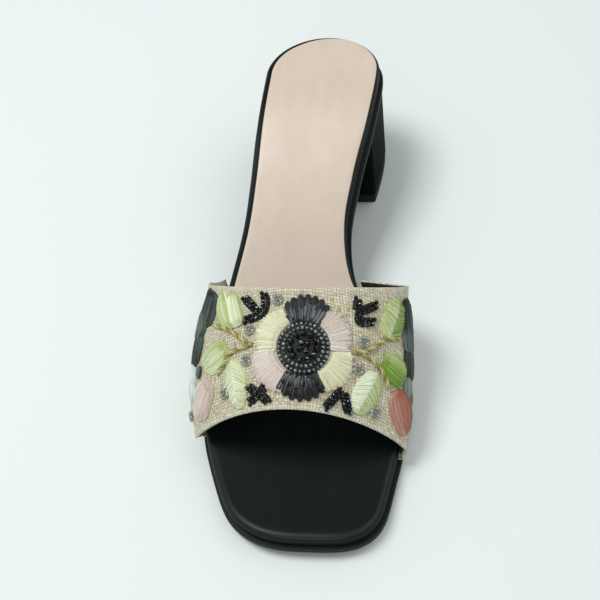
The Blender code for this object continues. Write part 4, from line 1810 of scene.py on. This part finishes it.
@dataclass
class Embroidery:
    """Flower, leaves, buds, side petals, bead sprigs, stems and sequins on the band."""

    band: Band
    flower: Place = Place(0.036, 0.475)
    disc_radius: float = 10.8
    disc_relief: float = 1.7
    petal_from: float = 10.7
    petal_to: float = 22.0
    petal_turn: float = 65.0
    petal_seed: int = 20
    fan_from: float = 10.3
    fan_top: float = 0.77
    fan_top_turn: float = 0.9
    motif_seed: int = 5
    lobe_ragged: float = 0.15
    lobe_lift: float = 0.04
    lobe_step: float = 0.1
    bead_rows: int = 6
    bead_columns: int = 13
    bead_flatness: float = 0.75
    bead_roundness: float = 0.8
    bead_length: float = 0.88
    bead_half: float = 0.44
    bead_variety: float = 0.08
    bead_step: float = 0.618
    bead_roll: float = 9.0
    ring_turn: float = 0.3
    path_points: int = 60
    sprig_bead: float = 1.95
    sprig_lift: float = 0.38
    sprig_pitch: float = 0.9
    sprig_side: float = 0.47
    sprig_back: float = 0.25
    # a flat black bed under each arm of sprig beads: painted shade between the beads
    shade_bed_points: int = 24
    shade_bed_sides: int = 9
    shade_bed_lift: float = 0.1
    shade_bed_girth: float = 1.05
    shade_bed_flatness: float = 0.42
    shade_bed_tint: float = 0.039
    stem_thick: float = 1.8
    stem_lift: float = 0.45
    stem_sides: int = 7
    stem_plies: int = 3
    ply_pitch: float = 2.2
    ply_offset: float = 0.26
    ply_girth: float = 0.27
    ply_tint: float = 0.35
    ply_step: float = 2.3
    ply_run: float = 9.0
    sequin_radius: float = 2.4
    sequin_points: int = 33
    sequin_lobes: int = 7
    sequin_wave: float = 0.05
    sequin_flutes: int = 9
    sequin_depth: float = 0.14
    sequin_step: float = 0.37
    sequin_reach: tuple[float, ...] = (0.0, 0.5, 0.85, 1.0, 1.03, 1.0, 0.85, 0.5, 0.0)
    sequin_height: tuple[float, ...] = (0.1, 0.15, 0.3, 0.42, 0.55, 0.66, 0.55, 0.4, 0.32)
    petal_bed: SatinBed = SatinBed(
        Place(0.0, 0.0), 0.0, 0.0, 1.3, 66, Tinting(0.0), form=Form.FAN, dome=3.0, tufts=9, scallop=1.1,
        groove=0.15, ragged=1.7
    )
    fan_bed: SatinBed = SatinBed(
        Place(0.0, 0.0), 0.0, 0.0, 1.7, 56, Tinting(0.34, 0.0, -0.2), form=Form.FAN, narrowing=0.04, dome=3.0,
        tufts=7, scallop=2.8, groove=0.45, ragged=0.6, variety=0.55
    )
    fan_top_bed: SatinBed = SatinBed(
        Place(0.0, 0.0), 0.0, 0.0, 2.1, 28, Tinting(0.55, 0.0, -0.1), form=Form.FAN, ragged=2.6, variety=0.6,
        lift=0.1
    )
    fans: tuple[Fan, ...] = (
        Fan("petal_1", 86.0, 23.7, 60.0, 0.1),
        Fan("petal_4", 270.0, 21.9, 70.0, -0.16),
    )
    black_rings: tuple[BeadRing, ...] = table(BeadRing, (1.9, 4, 2.7, 1.9), (5.4, 11, 3.0, 1.9))
    grey_rings: tuple[BeadRing, ...] = table(BeadRing, (7.8, 27, 1.75, 1.55), (9.9, 34, 1.75, 0.85))
    sequin_rings: tuple[BeadRing, ...] = table(BeadRing, (0.0, 1, 1.5, 0.7), (1.65, 7, 1.5, 0.5))
    petals: tuple[Petal, ...] = (
        Petal("petal_2", 152.0, Look.YELLOW, "yellow_thread", Tinting(0.38, 0.1, 0.0, 0.1)),
        Petal("petal_3", 215.0, Look.PINK, "pink_thread", Tinting(0.36, -0.2, 0.0, 0.1), 1.2),
        Petal("petal_5", 327.0, Look.YELLOW, "yellow_thread", Tinting(0.36, 0.1, 0.0, 0.15), 0.4),
        Petal("petal_6", 30.0, Look.PINK, "pink_thread", Tinting(0.32, -0.2, 0.0, 0.1)),
    )
    motifs: tuple[Motif, ...] = (
        Motif("leaf_1", Place(-0.276, 0.815, 110.0), Look.GREEN, "green_thread", (
            Lobe(0.3, 1.4, 2.0, 18.6, 9.8, 1.2, 2.5, 28, Tinting(0.52, -0.12, 0.05)),
            Lobe(-1.6, -2.6, -3.0, 15.4, 6.8, 1.3, 2.5, 22, Tinting(0.74, 0.28)),
        )),
        Motif("leaf_2", Place(-0.290, 0.459, 201.0), Look.GREEN, "green_thread", (
            Lobe(0.8, -0.4, 0.0, 16.4, 12.2, 1.4, 2.5, 34, Tinting(0.6, 0.05, 0.1)),
        )),
        Motif("leaf_3", Place(-0.197, 0.235, 274.0), Look.GREEN, "green_thread", (
            Lobe(0.4, 0.0, 0.0, 21.6, 10.4, 1.6, 1.9, 62, Tinting(0.82, -0.06, 0.05), Form.FEATHER),
        )),
        Motif("leaf_4", Place(0.404, 0.780, 78.0), Look.GREEN, "green_thread", (
            Lobe(0.0, 0.2, -4.0, 19.0, 11.6, 1.5, 2.2, 60, Tinting(0.34, 0.22, -0.05), Form.FEATHER),
        )),
        Motif("leaf_5", Place(0.392, 0.452, 339.0), Look.GREEN, "green_thread", (
            Lobe(0.8, -0.4, 4.0, 15.0, 12.6, 1.4, 2.5, 34, Tinting(0.1, 0.28, -0.12)),
        )),
        Motif("leaf_6", Place(0.269, 0.231, 256.0), Look.GREEN, "green_thread", (
            Lobe(1.0, 0.2, 0.0, 19.6, 12.0, 1.6, 2.1, 58, Tinting(0.76, -0.2, 0.0), Form.FEATHER),
        )),
        Motif("bud_1", Place(-0.395, 0.216, 221.0), Look.ROSE, "rose_thread", (
            Lobe(0.0, 1.3, 0.0, 19.6, 12.8, 1.8, 2.1, 32, Tinting(0.55, -0.15, 0.1)),
        )),
        Motif("bud_2", Place(0.474, 0.206, 315.0), Look.CORAL, "coral_thread", (
            Lobe(0.0, -1.1, 0.0, 20.2, 12.6, 1.8, 2.1, 32, Tinting(0.36, -0.4, 0.0)),
        )),
        Motif("side_petal_1", Place(-0.500, 0.735, 248.0), Look.TEAL, "black_thread", (
            Lobe(-9.4, 3.8, 6.0, 17.4, 12.8, 0.7, 2.7, 34, Tinting(0.13, 0.15, 0.1, -0.1)),
            Lobe(9.0, 2.6, -4.0, 17.0, 10.8, 0.7, 2.5, 30, Tinting(0.1, 0.1, -0.15)),
            Lobe(-1.4, 1.8, 0.0, 15.0, 11.0, 0.8, 2.4, 30, Tinting(0.62, -0.2, 0.0, -0.3)),
        )),
        Motif("side_petal_2", Place(0.553, 0.690, 284.0), Look.TEAL, "black_thread", (
            Lobe(-9.6, -1.8, -4.0, 17.0, 10.4, 0.9, 2.5, 28, Tinting(0.04, -0.08, 0.08)),
            Lobe(9.6, -1.6, 4.0, 17.0, 9.6, 0.9, 2.5, 28, Tinting(0.02, -0.06, -0.06)),
            Lobe(-0.6, -1.8, 0.0, 14.0, 10.0, 1.0, 2.4, 28, Tinting(0.46, -0.2, 0.1, -0.3)),
        )),
    )
    sprigs: tuple[tuple[Line, ...], ...] = (
        (
            ((-0.205, 0.91), (-0.148, 0.81)),
            ((-0.122, 0.945), (-0.11, 0.855), (-0.122, 0.765), (-0.18, 0.715)),
        ),
        (
            ((0.231, 0.905), (0.223, 0.82)),
            ((0.24, 0.81), (0.308, 0.87)),
            ((0.228, 0.78), (0.238, 0.725), (0.292, 0.742)),
        ),
        (
            ((-0.113, 0.135), (-0.143, 0.185)),
            ((-0.1, 0.135), (-0.088, 0.166)),
            ((-0.114, 0.115), (-0.141, 0.072)),
            ((-0.098, 0.112), (-0.072, 0.058)),
        ),
        (((0.17, 0.178), (0.126, 0.04)), ((0.182, 0.168), (0.206, 0.042))),
    )
    stems: tuple[Line, ...] = (
        ((-0.138, 0.515), (-0.175, 0.555), (-0.212, 0.61), (-0.262, 0.666), (-0.343, 0.717)),
        ((-0.136, 0.508), (-0.182, 0.489), (-0.228, 0.459), (-0.25, 0.385), (-0.282, 0.325)),
        ((0.198, 0.474), (0.254, 0.5), (0.302, 0.572), (0.36, 0.64), (0.428, 0.66)),
        ((0.238, 0.478), (0.281, 0.45), (0.318, 0.4), (0.345, 0.347), (0.355, 0.283)),
    )
    sequins: tuple[Place, ...] = table(
        Place,
        (-0.064, 0.891), (-0.158, 0.635), (-0.158, 0.388), (-0.25, 0.175), (-0.57, 0.15), (0.247, 0.573),
        (0.227, 0.354), (0.31, 0.109),
    )
    mint_beds: tuple[SatinBed, ...] = (
        SatinBed(Place(-0.475, 0.41, 268.0), 10.0, 7.0, 1.2, 14, Tinting(0.92, 0.1)),
        SatinBed(Place(-0.482, 0.305, 262.0), 10.0, 6.4, 1.2, 14, Tinting(0.86, 0.1), seed=2),
        SatinBed(Place(-0.405, 0.402, 240.0), 6.0, 3.6, 1.0, 8, Tinting(0.08), seed=3),
    )
    teal_beds: tuple[SatinBed, ...] = (
        SatinBed(Place(0.496, 0.37, 286.0), 10.0, 6.4, 1.2, 14, Tinting(0.8, -0.1), seed=4),
        SatinBed(Place(0.512, 0.3, 280.0), 8.0, 5.4, 1.1, 12, Tinting(0.55, -0.1), seed=5),
    )

    def build(self, maker: Maker) -> None:
        """Add every stitched and beaded piece.

        Args:
            maker: adds pieces.
        """
        self.build_flower(maker)
        for number, motif in enumerate(self.motifs, self.motif_seed):
            skins = self.lobes(motif, number)
            maker.add(f"stitched_{motif.node}", skins, motif.look, motif.slot, motif.node)
        self.build_trims(maker)

    def build_flower(self, maker: Maker) -> None:
        """Add the padded disc, its beads, the four satin petals and the two fans.

        Args:
            maker: adds pieces.
        """
        width = 2 * self.disc_radius
        pad = SatinBed(self.flower, width, width, self.disc_relief, 2, Tinting(0.0))
        maker.add("flower_pad", [pad.pad(self.band)], Look.BLACK, "beads", "flower_centre")
        for name, rings, look in (
            ("flower_black_beads", self.black_rings, Look.BLACK_BEAD),
            ("flower_rim_beads", self.grey_rings, Look.GREY_BEAD),
        ):
            maker.add(name, self.ring_beads(self.flower, rings), look, "beads")
        for seed, petal in enumerate(self.petals, self.petal_seed):
            bed = replace(self.petal_bed, tinting=petal.tinting, seed=seed)
            end = self.petal_to + petal.reach
            bed = self.sector(bed, petal.heading, self.petal_from, end, self.petal_turn)
            maker.add(f"satin_{petal.node}", bed.skins(self.band), petal.look, petal.slot, petal.node)
        for fan in self.fans:
            maker.add(f"fringed_{fan.node}", self.fringe(fan), Look.BLACK, "black_thread", fan.node)

    def fringe(self, fan: Fan) -> list[Skin]:
        """A padded fan of tufts with a shorter ragged layer on it.

        Args:
            fan: the petal.

        Returns:
            The pad and the two layers of stitches.
        """
        seed = int(fan.heading)
        beds = []
        for bed, end, turn in (
            (self.fan_bed, fan.end, fan.turn),
            (self.fan_top_bed, self.fan_top * fan.end, self.fan_top_turn * fan.turn),
        ):
            tinting = bed.tinting._replace(middle=bed.tinting.middle + fan.light)
            bed = replace(bed, tinting=tinting, seed=seed + len(beds))
            beds.append(self.sector(bed, fan.heading, self.fan_from, end, turn))
        return [*beds[0].skins(self.band), beds[1].threads(self.band)]

    def sector(self, bed: SatinBed, heading: float, start: float, stop: float, turn: float) -> SatinBed:
        """A fan of stitches about the flower's middle.

        Args:
            bed: its stitches.
            heading: the way it points.
            start: radius where it starts.
            stop: radius where it ends.
            turn: its whole angle in degrees.

        Returns:
            The bed, put in its place.
        """
        middle = (start + stop) / 2
        place = self.band.moved(self.flower._replace(heading=heading), middle, 0.0)
        width = math.radians(turn) * middle
        return replace(bed, place=place, length=stop - start, width=width, pivot=middle)

    def lobes(self, motif: Motif, number: int) -> list[Skin]:
        """Pads and stitches of a motif's lobes.

        Args:
            motif: the motif.
            number: its number, for the seeds of its stitches.

        Returns:
            A pad and a bed of stitches for each lobe.
        """
        skins = []
        for order, lobe in enumerate(motif.lobes):
            place = self.band.moved(motif.place, lobe.forward, lobe.sideways, lobe.turn)
            bed = SatinBed(
                place, lobe.length, lobe.width, lobe.relief, lobe.strands, lobe.tinting, lobe.roundness,
                lobe.form, ragged=self.lobe_ragged * lobe.length, seed=10 * number + order,
                lift=self.lobe_lift + self.lobe_step * order,
            )
            skins += bed.skins(self.band)
        return skins

    def build_trims(self, maker: Maker) -> None:
        """Add sprigs, stems, sequins and the small mint and teal stitches.

        Args:
            maker: adds pieces.
        """
        for number, arms in enumerate(self.sprigs, 1):
            beads = [part for arm in arms for part in self.arm_beads(np.array(arm))]
            maker.add(f"bead_sprig_{number}", beads, Look.BLACK_BEAD, "beads")
        arms = [np.array(arm) for sprig in self.sprigs for arm in sprig]
        # Dark beds under the arms of beads: painted shade between the beads.
        maker.add("sprig_shade_bed", [self.shade_bed(arm) for arm in arms], Look.BLACK, "black_thread")
        for number, places in enumerate(self.stems, 1):
            maker.add(f"gold_stem_{number}", [self.stem(np.array(places))], Look.GOLD, "yellow_thread")
        clusters = [part for place in self.sequins for part in self.ring_beads(place, self.sequin_rings)]
        maker.add("grey_sequins", self.sequin_cups() + clusters, Look.SEQUIN, "beads")
        for name, beds, look, slot in (
            ("mint_stitches", self.mint_beds, Look.MINT, "green_thread"),
            ("teal_stitches", self.teal_beds, Look.TEAL, "black_thread"),
        ):
            maker.add(name, [part for bed in beds for part in bed.skins(self.band)], look, slot)

    def beads(self, centres: Array, axes: Triple, size: float) -> Skin:
        """Round beads with slightly flattened sides, each turned on its thread by its own angle.

        Each is a ball of rings from pole to pole along the thread, whose cosines and sines are raised to a
        power below one, so that its sides and ends catch the light as small flats.

        Args:
            centres: the middle of each bead.
            axes: unit directions along its thread, to the left and out of the band.
            size: diameter.

        Returns:
            A skin with a grid for each bead.
        """
        ahead, left, normal = (axis[:, None, None] for axis in axes)
        pole = np.linspace(0, math.pi, self.bead_rows)[None, :, None, None]
        tint = (np.arange(len(centres)) * self.bead_step) % 1
        around = np.linspace(0, 2 * math.pi, self.bead_columns)[:, None]
        roll = self.bead_roll * tint[:, None, None, None]
        wide, tall = self.flattened(np.cos(around)), self.flattened(np.sin(around))
        side = np.cos(roll) * left + np.sin(roll) * normal
        up = np.cos(roll) * normal - np.sin(roll) * left
        girth = np.sin(pole) ** self.bead_roundness
        shape = self.bead_length * self.flattened(np.cos(pole)) * ahead + girth * (wide * side + tall * up)
        half = size * (self.bead_half + self.bead_variety * tint[:, None, None, None])
        points = centres[:, None, None] + half * shape
        return Skin(points, points[..., :2], np.broadcast_to(tint[:, None, None], points.shape[:3]))

    def flattened(self, wave: Array) -> Array:
        """A sine or cosine raised to a power below one, with its sign kept."""
        return np.sign(wave) * np.abs(wave) ** self.bead_flatness

    def ring_beads(self, place: Place, rings: tuple[BeadRing, ...]) -> list[Skin]:
        """Beads in rings about a place, threaded round it.

        Args:
            place: the middle of the rings.
            rings: the rings.

        Returns:
            A skin for each ring.
        """
        skins = []
        for ring in rings:
            angle = np.linspace(0, 2 * math.pi, ring.count, endpoint=False)
            angle = angle + self.ring_turn * ring.radius
            here = self.band.spread(place, ring.radius * np.cos(angle), ring.radius * np.sin(angle))
            axes = self.band.axes(*here, np.degrees(angle) + 90)
            skins.append(self.beads(self.band.lifted(*here, ring.lift), axes, ring.size))
        return skins

    def path(self, places: Array, count: int, lift: float) -> Triple:
        """Evenly spaced points on a smooth curve over the band.

        Args:
            places: across and along of the places that it passes.
            count: number of points.
            lift: height over the cloth.

        Returns:
            The points, the unit direction to their left and the band's normal there.
        """
        knots = np.linspace(0, 1, len(places))
        share = np.linspace(0, 1, self.path_points)
        across, along = hermite(knots, places[:, 0], share), hermite(knots, places[:, 1], share)
        way = travelled(self.band.lifted(across, along, lift))
        at = np.interp(np.linspace(0, way[-1], count), way, share)
        across, along = hermite(knots, places[:, 0], at), hermite(knots, places[:, 1], at)
        points = self.band.lifted(across, along, lift)
        normal = self.band.slopes(across, along)[2]
        return points, unit(np.cross(normal, np.gradient(points, axis=0))), normal

    def arm_beads(self, places: Array) -> list[Skin]:
        """Two rows of beads side by side along a curve, one row half a bead behind the other.

        Args:
            places: across and along of the places that the arm passes.

        Returns:
            A skin for each row.
        """
        lift = self.sprig_lift * self.sprig_bead
        length = travelled(self.path(places, 20, lift)[0])[-1]
        count = max(2, round(float(length) / (self.sprig_pitch * self.sprig_bead)) + 1)
        points, left, normal = self.path(places, count, lift)
        axes = (np.cross(left, normal), left, normal)
        half = self.sprig_side * self.sprig_bead
        back = self.sprig_back * self.sprig_bead * axes[0]
        return [self.beads(points + side * (half * left + back), axes, self.sprig_bead) for side in (-1, 1)]

    def shade_bed(self, places: Array) -> Skin:
        """A flat black bed under an arm of beads: painted shade, dark between and around the beads.

        Args:
            places: across and along of the places that the arm passes.

        Returns:
            Its skin.
        """
        points, _, normal = self.path(places, self.shade_bed_points, self.shade_bed_lift)
        radius = np.full((1, self.shade_bed_points), self.shade_bed_girth * self.sprig_bead)
        tint = np.full(radius.shape, self.shade_bed_tint)
        return tubes(points[None], normal[None], radius, tint, self.shade_bed_flatness, self.shade_bed_sides)

    def stem(self, places: Array) -> Skin:
        """A couched twist along a curve: three plies that wind about it as they go.

        Args:
            places: across and along of the places that it passes.

        Returns:
            The plies.
        """
        thick = self.stem_thick
        middle, side, normal = self.path(places, self.path_points, self.stem_lift * thick)
        ply = np.arange(self.stem_plies)[:, None]
        turn = 2 * math.pi * (ply / self.stem_plies + travelled(middle) / (self.ply_pitch * thick))
        turn = turn[..., None]
        lines = middle + self.ply_offset * thick * (np.cos(turn) * side + np.sin(turn) * normal)
        radius = np.full(lines.shape[:2], self.ply_girth * thick)
        run = np.linspace(0, self.ply_run, self.path_points)
        tint = 0.5 + self.ply_tint * np.sin(self.ply_step * ply + run)
        return tubes(lines, np.broadcast_to(normal, lines.shape), radius, tint, 1.0, self.stem_sides)

    def sequin_cups(self) -> list[Skin]:
        """Shallow cups with a rolled rim, whose flutes grow with the square of the radius.

        Returns:
            A skin for each cup.
        """
        skins = []
        around = np.linspace(0, 2 * math.pi, self.sequin_points)[None, :]
        radius = self.sequin_radius * np.array(self.sequin_reach)[:, None]
        height = np.array(self.sequin_height)[:, None]
        reach = radius * (1 + self.sequin_wave * np.cos(self.sequin_lobes * around))
        for number, place in enumerate(self.sequins):
            here = self.band.spread(place, reach * np.cos(around), reach * np.sin(around))
            waves = self.sequin_depth * np.cos(self.sequin_flutes * around + number)
            flutes = waves * (radius / self.sequin_radius) ** 2
            tint = (number * self.sequin_step) % 1
            skins.append(skin(self.band.lifted(*here, height + flutes), tint=tint))
        return skins


# Studio


class Softbox(NamedTuple):
    """A square soft light: its name, its place and side in metres, and its watts."""

    name: str
    place: tuple[float, float, float]
    size: float
    power: float


@dataclass
class Studio:
    """Plain pale floor, soft light and the camera at the photo's angle."""

    eye: tuple[float, float, float] = (48.0, -128.4, 363.2)
    pitch: float = 54.0
    aim_right: float = -0.1277
    aim_up: float = -0.0143
    lens: float = 55.0
    sensor: float = 36.0
    floor_half: float = 3.0
    world_colour: Colour = (0.93, 1.0, 0.985)
    world_strength: float = 0.385
    softboxes: tuple[Softbox, ...] = (
        Softbox("key_softbox", (-0.45, 0.1, 1.2), 0.5, 8.1),
        Softbox("top_softbox", (0.6, 0.2, 1.15), 0.8, 2.4),
        Softbox("front_fill", (-0.05, -0.8, 0.4), 0.4, 0.6),
    )

    def build(self, shift: Array) -> None:
        """Add the floor, the lights and the camera.

        Args:
            shift: shift from the last's frame to the row frame.
        """
        self.floor()
        for box in self.softboxes:
            self.light(box)
        world = bpy.data.worlds.new("studio")
        world.use_nodes = True
        background = world.node_tree.nodes["Background"]
        background.inputs["Color"].default_value = (*self.world_colour, 1.0)
        background.inputs["Strength"].default_value = self.world_strength
        bpy.context.scene.world = world
        bpy.context.scene.view_settings.view_transform = "Standard"
        self.camera(shift)

    def floor(self) -> None:
        """A wide flat sheet under the shoe."""
        half = self.floor_half
        mesh = bpy.data.meshes.new("studio_floor")
        corners = ((-half, -half, 0.0), (half, -half, 0.0), (half, half, 0.0), (-half, half, 0.0))
        mesh.from_pydata(corners, [], [(0, 1, 2, 3)])
        mesh.materials.append(Look.FLOOR.value.material())
        placed("studio_floor", mesh)

    @staticmethod
    def light(box: Softbox) -> None:
        """Add one soft light, turned to the shoe.

        Args:
            box: the light.
        """
        lamp = bpy.data.lights.new(box.name, "AREA")
        lamp.size = box.size
        lamp.energy = box.power
        stand = placed(box.name, lamp)
        stand.location = box.place
        stand.rotation_euler = (-Vector(box.place)).to_track_quat("-Z", "Y").to_euler()

    def camera(self, shift: Array) -> None:
        """A camera at the photo's place, turned to the shoe by the least turn.

        Args:
            shift: shift from the last's frame to the row frame.
        """
        data = bpy.data.cameras.new("photo_camera")
        data.lens = self.lens
        data.sensor_width = self.sensor
        eye = placed("photo_camera", data)
        level = Euler((math.radians(90 - self.pitch), 0, 0)).to_quaternion()
        ahead = level @ Vector((0, 0, -1))
        aim = level @ Vector((self.aim_right, self.aim_up, -1))
        eye.rotation_mode = "QUATERNION"
        eye.rotation_quaternion = ahead.rotation_difference(aim) @ level
        eye.location = Vector((np.array(self.eye) * MM + shift).tolist())
        bpy.context.scene.camera = eye


def row_shift(last: Last) -> Array:
    """Shift from the last's frame to the row frame, from the middle of the outsole's box.

    Args:
        last: the last.

    Returns:
        The shift in metres.
    """
    low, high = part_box("outsole")
    loop = last.loop(last.whole(), 0.0)
    middle = (loop.min(axis=0) + loop.max(axis=0)) / 2 * MM
    return np.array(((low.x + high.x) / 2 - middle[0], (low.y + high.y) / 2 - middle[1], 0.0))


def main() -> None:
    """Build the shoe piece by piece, then the studio."""
    logging.basicConfig(level=logging.INFO, format="%(message)s")
    last = Last()
    maker = Maker(row_shift(last))
    band = Band(last)
    SoleUnit(last).build(maker, band.ends)
    Heel(last).build(maker)
    band.build(maker)
    Embroidery(band).build(maker)
    Studio().build(maker.shift)
    LOG.info("%d pieces in all", len(maker.made))


if __name__ == "__main__":
    main()
